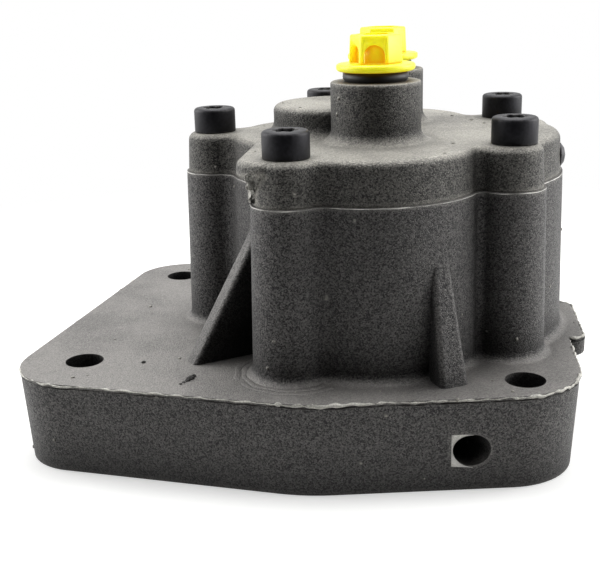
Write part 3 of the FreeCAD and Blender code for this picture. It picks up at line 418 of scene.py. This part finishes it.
# %% [markdown]
# The pieces below stand for CAD nodes that the photograph shows closely.
# They are modelled as by hand: a primitive in its place, then edit mode. An
# operator acts on whatever is selected, so one helper selects the faces,
# edges or corners that a test on their points picks out.

# %% Helpers for modelling
def start(name):
    """Take the new primitive, put its place in its mesh and open it."""
    piece = bpy.context.object
    piece.name = name
    bpy.ops.object.transform_apply(location=True, rotation=True, scale=True)
    bpy.ops.object.mode_set(mode="EDIT")
    return piece


def pick(kind, test):
    bpy.ops.mesh.select_mode(type=kind)
    bpy.ops.mesh.select_all(action="DESELECT")
    shape = bmesh.from_edit_mesh(bpy.context.object.data)
    items = {"VERT": shape.verts, "EDGE": shape.edges, "FACE": shape.faces}[kind]
    for item in items:
        corners = [item] if kind == "VERT" else item.verts
        item.select = all(test(corner.co) for corner in corners)
    shape.select_flush_mode()
    bmesh.update_edit_mesh(bpy.context.object.data)
    return sum(item.select for item in items)


def level(height, low=0, high=1000, at=(0, 0)):
    """Points at a height in mm, between two distances from an upright axis."""
    def test(point):
        out = math.hypot(point.x - at[0] * MM, point.y - at[1] * MM)
        return (abs(point.z - height * MM) < 0.02 * MM
                and (low - 0.02) * MM < out < (high + 0.02) * MM)
    return test


def push(x=0, y=0, z=0):
    bpy.ops.mesh.extrude_region_move(
        TRANSFORM_OT_translate={"value": (x * MM, y * MM, z * MM)})


def widen(share, at, height):
    bpy.ops.transform.resize(value=(share, share, 1), center_override=(
        at[0] * MM, at[1] * MM, height * MM))


def close_up(piece, angle=35):
    bpy.ops.object.mode_set(mode="OBJECT")
    bpy.ops.object.shade_smooth_by_angle(angle=math.radians(angle))
    return piece


def finish(piece, body, slot_name, material, *replaced):
    piece.data.materials.clear()
    piece.data.materials.append(material)
    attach(piece, body)
    if replaced:
        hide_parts(*replaced)
    print(piece.name, len(piece.data.polygons), "faces")


print("helpers ready")

# %% [markdown]
# Five M6 cylinder screws hold the cover. The head is 10.4 mm across and 6 mm
# high, cold-headed, with a well rounded top edge and a six-lobe socket. The
# socket starts as a round inset of 48 corners. Every second group of them is
# drawn inwards, which gives six lobes, and the face is pushed down.

# %% Model one screw
HEAD_LOW = 71.2
HEAD_TOP = 77.2
SCREWS = [(-30.9, 0), (-6.9, -40.7), (42.4, -22.5), (42.4, 22.5), (-6.9, 40.7)]
SOCKET_DEPTH = 2.8
THREAD_LENGTH = 25
LOBES = (1.0, 0.985, 0.9, 0.79, 0.75)


def socket_point(step, at):
    """Corners of the socket that lie so many steps from a lobe's middle."""
    rim = level(HEAD_TOP, 2.85, 2.95, at)

    def test(point):
        turn = math.degrees(math.atan2(point.y - at[1] * MM,
                                       point.x - at[0] * MM)) % 60
        return rim(point) and abs(min(turn, 60 - turn) - step * 7.5) < 1
    return test


def cap_screw(at):
    bpy.ops.object.select_all(action="DESELECT")
    bpy.ops.mesh.primitive_cylinder_add(
        vertices=48, radius=5.2 * MM, depth=6 * MM,
        location=(at[0] * MM, at[1] * MM, (HEAD_LOW + 3) * MM))
    screw = start("cover_screw_1")
    pick("FACE", level(HEAD_TOP, at=at))
    bpy.ops.mesh.inset(thickness=2.3 * MM)
    for step, share in enumerate(LOBES):
        pick("VERT", socket_point(step, at))
        widen(share, at, HEAD_TOP)
    pick("FACE", level(HEAD_TOP, 0, 2.95, at))
    push(z=-SOCKET_DEPTH)
    bpy.ops.mesh.inset(thickness=0.7 * MM)
    bpy.ops.transform.translate(value=(0, 0, -0.5 * MM))
    pick("FACE", level(HEAD_LOW, at=at))
    bpy.ops.mesh.inset(thickness=2.2 * MM)
    push(z=-THREAD_LENGTH)
    pick("EDGE", level(HEAD_LOW - THREAD_LENGTH, at=at))
    bpy.ops.mesh.bevel(offset=0.6 * MM, segments=2, affect="EDGES")
    pick("EDGE", level(HEAD_TOP, 5.1, 5.3, at))
    bpy.ops.mesh.bevel(offset=0.85 * MM, segments=7, affect="EDGES")
    pick("EDGE", level(HEAD_TOP, 0, 2.95, at))
    bpy.ops.mesh.bevel(offset=0.12 * MM, segments=2, affect="EDGES")
    pick("EDGE", level(HEAD_LOW, 5.1, 5.3, at))
    bpy.ops.mesh.bevel(offset=0.25 * MM, segments=2, affect="EDGES")
    return close_up(screw, 30)


first_screw = cap_screw(SCREWS[0])
print("screw faces:", len(first_screw.data.polygons))

# %% Copy the screw to its five places
screws = [first_screw]
for number, (x, y) in enumerate(SCREWS[1:], start=2):
    bpy.ops.object.select_all(action="DESELECT")
    first_screw.select_set(True)
    bpy.context.view_layer.objects.active = first_screw
    bpy.ops.object.duplicate()
    copy = bpy.context.object
    copy.name = "cover_screw_%d" % number
    copy.location = ((x - SCREWS[0][0]) * MM, (y - SCREWS[0][1]) * MM, 0)
    bpy.ops.object.transform_apply(location=True)
    screws.append(copy)
for screw in screws:
    finish(screw, "housing", "bolt_black", black_oxide, "cover_bolts")

# %% [markdown]
# The transit plugs keep dirt out of the ports. They are injection moulded in
# soft yellow plastic that lets light through, so edges and corners are
# rounded, the hexagon leans in a little for the mould, and its walls carry
# arched niches that save plastic. The niches are cut with a Boolean: its
# cutter is a lying cylinder whose lower half is pulled down.

# %% Model a transit plug
PLUG_LOW = 87.2
PLUG_HIGH = 88.9
HEX_TOP = 95.4
NECK_LOW = 84.0
SEAL_Z = 86
PORTS = {"inlet": (11.0, -16.6), "outlet": (11.0, 16.6)}


def plug_disc(name, at):
    """The flange, with its neck and the hollow stem that sits in the port."""
    bpy.ops.object.select_all(action="DESELECT")
    bpy.ops.mesh.primitive_cylinder_add(
        vertices=72, radius=9.1 * MM, depth=(PLUG_HIGH - PLUG_LOW) * MM,
        location=(at[0] * MM, at[1] * MM, (PLUG_LOW + PLUG_HIGH) / 2 * MM))
    disc = start(name)
    pick("FACE", level(PLUG_LOW, at=at))
    bpy.ops.mesh.inset(thickness=3.5 * MM)
    push(z=NECK_LOW - PLUG_LOW)
    push()
    widen(6.65 / 5.6, at, NECK_LOW)
    push(z=-6.8)
    bpy.ops.mesh.inset(thickness=1.4 * MM)
    push(z=8)
    pick("EDGE", level(PLUG_LOW, 9.0, 9.2, at))
    bpy.ops.mesh.bevel(offset=0.75 * MM, segments=5, affect="EDGES")
    pick("EDGE", level(PLUG_HIGH, 9.0, 9.2, at))
    bpy.ops.mesh.bevel(offset=0.6 * MM, segments=5, affect="EDGES")
    return close_up(disc)


def plug_hexagon(name, at):
    bpy.ops.object.select_all(action="DESELECT")
    bpy.ops.mesh.primitive_cylinder_add(
        vertices=6, radius=6.3 * MM, depth=(HEX_TOP - PLUG_HIGH + 0.2) * MM,
        location=(at[0] * MM, at[1] * MM, (HEX_TOP + PLUG_HIGH - 0.2) / 2 * MM),
        rotation=(0, 0, math.radians(30)))
    cap = start(name)
    pick("FACE", level(HEX_TOP, at=at))
    widen(0.95, at, HEX_TOP)
    bpy.ops.mesh.inset(thickness=1.1 * MM)
    push(z=-0.6)
    pick("EDGE", lambda p: math.hypot(p.x - at[0] * MM,
                                      p.y - at[1] * MM) > 5.5 * MM)
    bpy.ops.mesh.bevel(offset=0.55 * MM, segments=4, affect="EDGES")
    return close_up(cap)


def cut_niche(cap, at, turn):
    """Cut an arched niche 4.8 mm wide and 1.5 mm deep into one side."""
    out = Vector((math.cos(turn), math.sin(turn), 0))
    middle = Vector((at[0], at[1], PLUG_HIGH + 1.9)) + out * 5.8
    bpy.ops.object.select_all(action="DESELECT")
    bpy.ops.mesh.primitive_cylinder_add(
        vertices=32, radius=2.4 * MM, depth=4 * MM, location=middle * MM,
        rotation=(0, math.radians(90), turn))
    cutter = start("niche_cutter")
    pick("VERT", lambda p: p.z < (middle.z - 0.05) * MM)
    bpy.ops.transform.resize(value=(1, 1, 0), center_override=middle * MM)
    bpy.ops.transform.translate(value=(0, 0, -1.7 * MM))
    close_up(cutter)
    bpy.ops.object.select_all(action="DESELECT")
    cap.select_set(True)
    bpy.context.view_layer.objects.active = cap
    niche = cap.modifiers.new("niche", "BOOLEAN")
    niche.operation = "DIFFERENCE"
    niche.object = cutter
    bpy.ops.object.modifier_apply(modifier="niche")
    bpy.data.objects.remove(cutter)


for name, at in PORTS.items():
    cap = plug_hexagon(name + "_transit_cap", at)
    for turn in (-90, -150, 90, 30):
        cut_niche(cap, at, math.radians(turn))
    disc = plug_disc(name + "_transit_plug", at)
    bpy.ops.object.select_all(action="DESELECT")
    cap.select_set(True)
    disc.select_set(True)
    bpy.context.view_layer.objects.active = disc
    bpy.ops.object.join()
    finish(disc, name + "_cap", "transit_yellow", yellow, name + "_plug")

# %% [markdown]
# Under each plug lies a nitrile ring, squeezed between the plug and the
# port. The mould leaves a fine seam round the outside of such a ring, so the
# outermost edge of the torus is drawn out a little.

# %% Model the two squeezed rings
for name, at in PORTS.items():
    bpy.ops.object.select_all(action="DESELECT")
    bpy.ops.mesh.primitive_torus_add(
        location=(at[0] * MM, at[1] * MM, SEAL_Z * MM), major_radius=6.6 * MM,
        minor_radius=1.0 * MM, major_segments=72, minor_segments=20)
    seal = start(name + "_squeezed_ring")
    bpy.ops.mesh.select_all(action="SELECT")
    bpy.ops.transform.resize(value=(1, 1, 1.2), center_override=(
        at[0] * MM, at[1] * MM, SEAL_Z * MM))
    pick("VERT", level(SEAL_Z, 7.5, 7.7, at))
    widen(1.006, at, SEAL_Z)
    close_up(seal)
    finish(seal, name + "_cap", "seal_rubber", rubber, name + "_plug_ring")

# %% [markdown]
# Where the halves of a sand mould meet, iron creeps between them and leaves a ragged fin,
# called flash. On this casting it runs along the flange's top edge and round the joint of
# body and cover. Under the flange's flash a near-black bead paints the shadow of the
# flash. A copy of the body is cut by a level plane, only the cut line round the outside is
# kept, and that line becomes a thin bead whose thickness changes from point to point.

# %% Beads of flash
def outline_at(node, height, name):
    """The outer edge of a node at a height, as a loop of edges."""
    bpy.ops.object.select_all(action="DESELECT")
    loop = bpy.data.objects.new(name, node.data.copy())
    bpy.context.scene.collection.objects.link(loop)
    loop.data.materials.clear()
    loop.select_set(True)
    bpy.context.view_layer.objects.active = loop
    bpy.ops.object.mode_set(mode="EDIT")
    bpy.ops.mesh.select_all(action="SELECT")
    bpy.ops.mesh.remove_doubles(threshold=0.001 * MM)
    bpy.ops.mesh.bisect(plane_co=(0, 0, height * MM), plane_no=(0, 0, 1),
                        clear_inner=True, clear_outer=True)
    bpy.ops.mesh.select_all(action="SELECT")
    bpy.ops.mesh.remove_doubles(threshold=0.05 * MM)
    shape = bmesh.from_edit_mesh(loop.data)
    reach = max(vertex.co.x for vertex in shape.verts)
    pick("VERT", lambda p: p.x > reach - 0.001 * MM)
    bpy.ops.mesh.select_linked()
    bpy.ops.mesh.select_all(action="INVERT")
    bpy.ops.mesh.delete(type="VERT")
    for long in (16, 8, 4, 2, 1):
        bpy.ops.mesh.select_mode(type="EDGE")
        bpy.ops.mesh.select_all(action="DESELECT")
        shape = bmesh.from_edit_mesh(loop.data)
        for edge in shape.edges:
            edge.select = edge.calc_length() > long * 0.9 * MM
        bmesh.update_edit_mesh(loop.data)
        bpy.ops.mesh.subdivide(number_cuts=1)
    bpy.ops.object.mode_set(mode="OBJECT")
    return loop


def bead(loop, thickness, share):
    """Turn a loop of edges into a bead. share gives its size at a point."""
    bpy.ops.object.convert(target="CURVE")
    curve = bpy.context.object
    curve.data.bevel_depth = thickness * MM
    curve.data.bevel_resolution = 1
    for spline in curve.data.splines:
        for point in spline.points:
            at = Vector(point.co[:3]) / MM
            point.radius = share(at)
            lift = noise.noise(at * 0.45) * thickness
            point.co.z += lift * MM
    bpy.ops.object.convert(target="MESH")
    made = bpy.context.object
    for vertex in made.data.vertices:
        for axis in (0, 1):
            vertex.co[axis] = min(max(vertex.co[axis], cad_box[0][axis]),
                                  cad_box[1][axis])
    bpy.ops.object.shade_smooth()
    return made


def ragged(at):
    side = 0.95 if at.x > -10 else 0.6
    torn = 0.7 + 0.6 * noise.noise(at * 0.15) + 0.9 * noise.noise(at * 0.9)
    return max(0.15, side * torn)


def thin(at):
    return max(0.2, 0.7 + 1.3 * noise.noise(at * 0.3))


flange_flash = bead(outline_at(nodes["pump_body"], 21.7, "flange_flash"), 0.42,
                    ragged)
finish(flange_flash, "housing", "casting_iron", torn_iron)
# Painted shadow: a near-black bead under the flange's flash.
flash_shadow_bead = bead(outline_at(nodes["pump_body"], 21.05, "flash_shadow_bead"), 0.26,
                    ragged)
finish(flash_shadow_bead, "housing", "casting_iron", painted_shade_iron)
joint_flash = bead(outline_at(nodes["pump_body"], 61.2, "joint_flash"), 0.09,
                   thin)
finish(joint_flash, "housing", "casting_iron", bare_iron)

# %% [markdown]
# At the cover's front left the pouring gate was broken off. The break is
# coarse and crumbly, and it undercuts the smooth skin above it. A cube in
# the corner is divided finely, and each of its points is then moved by
# noise, as one would roughen clay with a wire brush.

# %% Roughen the broken gate
def torn_lump(name, low, high, amount, seed):
    bpy.ops.object.select_all(action="DESELECT")
    middle = [(a + b) / 2 * MM for a, b in zip(low, high)]
    bpy.ops.mesh.primitive_cube_add(size=1, location=middle, scale=[
        (b - a) * MM for a, b in zip(low, high)])
    lump = start(name)
    bpy.ops.mesh.select_all(action="SELECT")
    bpy.ops.mesh.bevel(offset=0.5 * MM, segments=2, affect="EDGES")
    bpy.ops.mesh.select_all(action="SELECT")
    bpy.ops.mesh.subdivide(number_cuts=20)
    bpy.ops.object.mode_set(mode="OBJECT")
    for vertex in lump.data.vertices:
        at = vertex.co / MM
        crumb = (noise.noise_vector(at * 0.6 + Vector((seed, 0, 0)))
                 + noise.noise_vector(at * 1.6 + Vector((seed, 0, 0))) * 0.6
                 + noise.noise_vector(at * 4.0 + Vector((seed, 0, 0))) * 0.35)
        vertex.co += crumb * amount * MM
        vertex.co.y -= max(0, at.z - 64) * 0.5 * MM
    bpy.ops.object.shade_smooth_by_angle(angle=math.radians(50))
    return lump


gate_break = torn_lump("gate_break", (-14.9, -44.2, 61.9), (-9.0, -30.0, 68.6),
                       0.75, 3)
finish(gate_break, "housing", "casting_iron", torn_iron)

# %% [markdown]
# Grains of sand break out of a mould while the iron is poured, and each one
# leaves a small pimple on the casting. One pimple is a squashed ball of a
# few faces. Copies of it are set on the outside of the body and the cover at
# places that a seeded random choice picks, so they are the same every time.

# %% Casting pimples
bpy.ops.object.select_all(action="DESELECT")
bpy.ops.mesh.primitive_ico_sphere_add(subdivisions=2, radius=1 * MM)
grain_of_sand = start("pimple")
bpy.ops.mesh.select_all(action="SELECT")
bpy.ops.transform.resize(value=(1, 1, 0.7), center_override=(0, 0, 0))
pick("VERT", lambda p: p.z < -0.2 * MM)
bpy.ops.transform.resize(value=(1.3, 1.3, 1), center_override=(0, 0, 0))
close_up(grain_of_sand, 60)


def places_on(node, count, chance):
    """Points and directions on the outside of a node, spread by area."""
    faces = [face for face in node.data.polygons
             if face.area > (0.8 * MM) ** 2 and face.normal.z > -0.2]
    weights = [face.area for face in faces]
    for face in chance.choices(faces, weights, k=count):
        corners = [node.data.vertices[i].co for i in face.vertices]
        share = chance.random()
        yield corners[0].lerp(corners[1].lerp(corners[2], share),
                              math.sqrt(chance.random())), face.normal


chance = random.Random(11)
pimples = []
for node, count in (("pump_body", 170), ("pump_cover", 60)):
    for point, out in places_on(nodes[node], count, chance):
        if min(point.x - cad_box[0][0], cad_box[1][0] - point.x,
               point.y - cad_box[0][1], cad_box[1][1] - point.y,
               point.z) < 1 * MM:
            continue
        pimple = bpy.data.objects.new("pimple", grain_of_sand.data.copy())
        bpy.context.scene.collection.objects.link(pimple)
        width = chance.uniform(0.2, 0.5)
        pimple.matrix_world = (
            Matrix.Translation(point)
            @ out.to_track_quat("Z", "Y").to_matrix().to_4x4()
            @ Matrix.Diagonal((width, width * chance.uniform(0.7, 1.3),
                               width, 1)))
        pimples.append(pimple)
bpy.data.objects.remove(grain_of_sand)
bpy.ops.object.select_all(action="DESELECT")
for pimple in pimples:
    pimple.select_set(True)
bpy.context.view_layer.objects.active = pimples[0]
bpy.ops.object.join()
pimples = bpy.context.object
pimples.name = "casting_pimples"
bpy.ops.object.transform_apply(location=True, rotation=True, scale=True)
finish(pimples, "housing", "casting_iron", cover_iron)

# %% [markdown]
# The tell-tale hole in the front wall was drilled through a small square flat. What the
# drill left of that flat is bare iron, brighter than the blasted skin, and its near-white
# colour also paints the light that falls on the flat. It is a thin plate with the drill's
# own cylinder cut away.

# %% The flat at the tell-tale hole
MOUTH = (33.7, -53.1, 9.6)
bpy.ops.object.select_all(action="DESELECT")
bpy.ops.mesh.primitive_cylinder_add(
    vertices=64, radius=3.8 * MM, depth=20 * MM,
    location=[c * MM for c in MOUTH],
    rotation=(0, math.radians(90), math.radians(302.4)))
drill = start("drill")
close_up(drill)
bpy.ops.object.select_all(action="DESELECT")
bpy.ops.mesh.primitive_cube_add(
    size=1, location=(31.2 * MM, -53.05 * MM, 9.6 * MM),
    scale=(4.7 * MM, 0.12 * MM, 7.7 * MM))
flat = start("drilled_flat")
bpy.ops.mesh.select_all(action="SELECT")
bpy.ops.mesh.bevel(offset=0.03 * MM, segments=1, affect="EDGES")
close_up(flat)
drilled = flat.modifiers.new("drilled", "BOOLEAN")
drilled.operation = "DIFFERENCE"
drilled.object = drill
bpy.ops.object.modifier_apply(modifier="drilled")
bpy.data.objects.remove(drill)
# Partly painted light: the flat's near-white colour also stands for light falling on it.
finish(flat, "housing", "casting_iron", bare_iron)

# %% [markdown]
# Near the front left corner of the flange a curved scab was chipped away, and left a row
# of small pits. They are drawn as crumbs that get smaller towards its end, in the
# near-black iron that paints the shade inside the pits.

# %% A row of crumbs on the flange
FLANGE_TOP = 22
CRUMBS = [(-29.2, -44.9, 0.75), (-29.5, -46.1, 0.9), (-29.9, -47.3, 0.7),
          (-30.4, -48.5, 0.5), (-31.0, -49.5, 0.35), (-43.0, -37.0, 0.6)]
crumbs = []
for x, y, width in CRUMBS:
    bpy.ops.object.select_all(action="DESELECT")
    bpy.ops.mesh.primitive_ico_sphere_add(
        subdivisions=3, radius=width * MM, location=(
            x * MM, y * MM, FLANGE_TOP * MM))
    crumb = start("crumb")
    bpy.ops.mesh.select_all(action="SELECT")
    bpy.ops.transform.resize(value=(1, 1, 0.55), center_override=(
        x * MM, y * MM, FLANGE_TOP * MM))
    close_up(crumb, 40)
    for vertex in crumb.data.vertices:
        vertex.co += noise.noise_vector(vertex.co / MM * 2.2) * 0.3 * MM
    crumbs.append(crumb)
bpy.ops.object.select_all(action="DESELECT")
for crumb in crumbs:
    crumb.select_set(True)
bpy.context.view_layer.objects.active = crumbs[0]
bpy.ops.object.join()
scab = bpy.context.object
scab.name = "chipped_scab"
# The near-black finish is painted shade for the inside of the pits.
finish(scab, "housing", "casting_iron", painted_shade_iron)

# %% [markdown]
# Round the foot of the front left column the moulding sand had slipped, and
# it left low rings in the iron. Each is a torus sunk halfway into the
# flange, cut off where it would run under the body.

# %% Rings of slipped sand
def sand_ring(name, at, radius, height, turn):
    """A low ridge round an upright axis, seen on the side it turns to."""
    bpy.ops.object.select_all(action="DESELECT")
    bpy.ops.mesh.primitive_torus_add(
        location=(at[0] * MM, at[1] * MM, FLANGE_TOP * MM),
        major_radius=radius * MM,
        minor_radius=0.9 * MM, major_segments=96, minor_segments=12)
    ring = start(name)
    bpy.ops.mesh.select_all(action="SELECT")
    bpy.ops.transform.resize(value=(1, 1, height / 0.9), center_override=(
        at[0] * MM, at[1] * MM, FLANGE_TOP * MM))
    cut = (math.cos(turn), math.sin(turn), 0)
    bpy.ops.mesh.bisect(plane_co=(at[0] * MM, at[1] * MM, 0), plane_no=cut,
                        clear_inner=True, use_fill=True)
    close_up(ring, 60)
    for vertex in ring.data.vertices:
        point = vertex.co / MM
        slip = noise.noise_vector(point * 0.22) * 1.1
        vertex.co += Vector((slip.x, slip.y, slip.z * 0.22 - 0.06)) * MM
    return ring


rings = []
for name, radius, height in (("sand_ring_1", 10.9, 0.3),
                             ("sand_ring_2", 12.6, 0.2)):
    rings.append(sand_ring(name, (-6.9, -40.7), radius, height,
                           math.radians(225)))
for ring in rings:
    finish(ring, "housing", "casting_iron", body_iron)

# %% [markdown]
# The studio is plain: a pale floor, a large soft light overhead and one on
# each side. Black cards in front and on the floor, unseen by the camera,
# keep the front of the casting dark, as photographers do with iron, so that
# its edges stand out. The white background is only what the camera and
# mirrors see. It adds no light. Near the pump the floor is real paper that
# takes a shadow, and further off it fades to plain white.

# %% Floor and background
def studio_white(material, own_light):
    path = add(material, "ShaderNodeLightPath")
    seen = add(material, "ShaderNodeMath",
               {0: path.outputs["Is Camera Ray"],
                1: path.outputs["Is Glossy Ray"]}, operation="MAXIMUM")
    seen = add(material, "ShaderNodeMath",
               {0: seen.outputs["Value"],
                1: path.outputs["Is Transmission Ray"]}, operation="MAXIMUM")
    return add(material, "ShaderNodeMapRange",
               {"Value": seen.outputs["Value"], "To Min": own_light[0],
                "To Max": own_light[1]}).outputs["Result"]


bpy.ops.object.select_all(action="DESELECT")
bpy.ops.mesh.primitive_plane_add(size=8, location=(0, 0, -0.0002))
floor = bpy.context.active_object
floor.name = "studio_floor"
paper = new_material("white_paper")
place = add(paper, "ShaderNodeTexCoord").outputs["Object"]
fibres = add(paper, "ShaderNodeTexNoise",
             {"Vector": place, "Scale": per_metre(3)})
sheet = ramp(paper, fibres.outputs["Fac"], [(0, "#cfcfcd"), (1, "#d8d8d6")])
matt = add(paper, "ShaderNodeBsdfDiffuse", {"Color": sheet})
glow = add(paper, "ShaderNodeEmission",
           {"Strength": studio_white(paper, (0, 0.5))})
near = add(paper, "ShaderNodeAddShader",
           {0: matt.outputs["BSDF"], 1: glow.outputs["Emission"]})
bright = add(paper, "ShaderNodeEmission",
             {"Strength": studio_white(paper, (0.1, 1.0))})
away = add(paper, "ShaderNodeVectorMath", {0: place}, operation="LENGTH")
far = add(paper, "ShaderNodeMapRange",
          {"Value": away.outputs["Value"], "From Min": 0.16, "From Max": 0.3},
          interpolation_type="SMOOTHSTEP")
both = add(paper, "ShaderNodeMixShader",
           {"Fac": far.outputs["Result"], 1: near.outputs["Shader"],
            2: bright.outputs["Emission"]})
add(paper, "ShaderNodeOutputMaterial", {"Surface": both.outputs["Shader"]})
floor.data.materials.append(paper)

world = bpy.data.worlds.new("studio")
bpy.context.scene.world = world
world.use_nodes = True
world.node_tree.nodes.clear()
strength = studio_white(world, (0.16, 1.0))
sky = add(world, "ShaderNodeBackground", {"Strength": strength})
sky.inputs["Color"].default_value = (1, 1, 1, 1)
add(world, "ShaderNodeOutputWorld", {"Surface": sky.outputs["Background"]})
print("floor", floor.name)

# %% Lights
def soft_light(name, at, towards, size, power):
    data = bpy.data.lights.new(name, "AREA")
    data.shape = "RECTANGLE"
    data.size, data.size_y = size
    data.energy = power
    lamp = bpy.data.objects.new(name, data)
    lamp.visible_camera = False
    bpy.context.scene.collection.objects.link(lamp)
    lamp.location = at
    lamp.rotation_euler = (Vector(towards) - Vector(at)).to_track_quat(
        "-Z", "Y").to_euler()
    return lamp


soft_light("overhead", (0, 0.2, 0.9), (0, 0, 0.05), (0.9, 0.7), 10)
soft_light("left", (-0.7, 0.1, 0.3), (0, 0, 0.05), (0.5, 0.6), 4)
soft_light("right", (0.7, 0.15, 0.3), (0, 0, 0.05), (0.5, 0.6), 5)
print("lights:", len(bpy.data.lights))

# %% Dark cards
felt = new_material("black_felt")
nap = add(felt, "ShaderNodeTexNoise",
          {"Vector": add(felt, "ShaderNodeTexCoord").outputs["Object"],
           "Scale": per_metre(2)})
pile = ramp(felt, nap.outputs["Fac"], [(0, "#050505"), (1, "#0c0c0c")])
cloth = add(felt, "ShaderNodeBsdfDiffuse", {"Color": pile})
add(felt, "ShaderNodeOutputMaterial", {"Surface": cloth.outputs["BSDF"]})


def dark_card(name, at, turn, size):
    bpy.ops.object.select_all(action="DESELECT")
    bpy.ops.mesh.primitive_plane_add(size=1, location=at, rotation=turn)
    card = bpy.context.active_object
    card.name = name
    card.scale = (size[0], size[1], 1)
    card.visible_camera = False
    card.visible_shadow = False
    card.data.materials.append(felt)


dark_card("front_card", (0, -0.34, 0.25), (math.radians(90), 0, 0), (0.7, 0.5))
dark_card("floor_card", (0, -0.24, 0.0005), (0, 0, 0), (0.5, 0.2))
print("cards: 2")
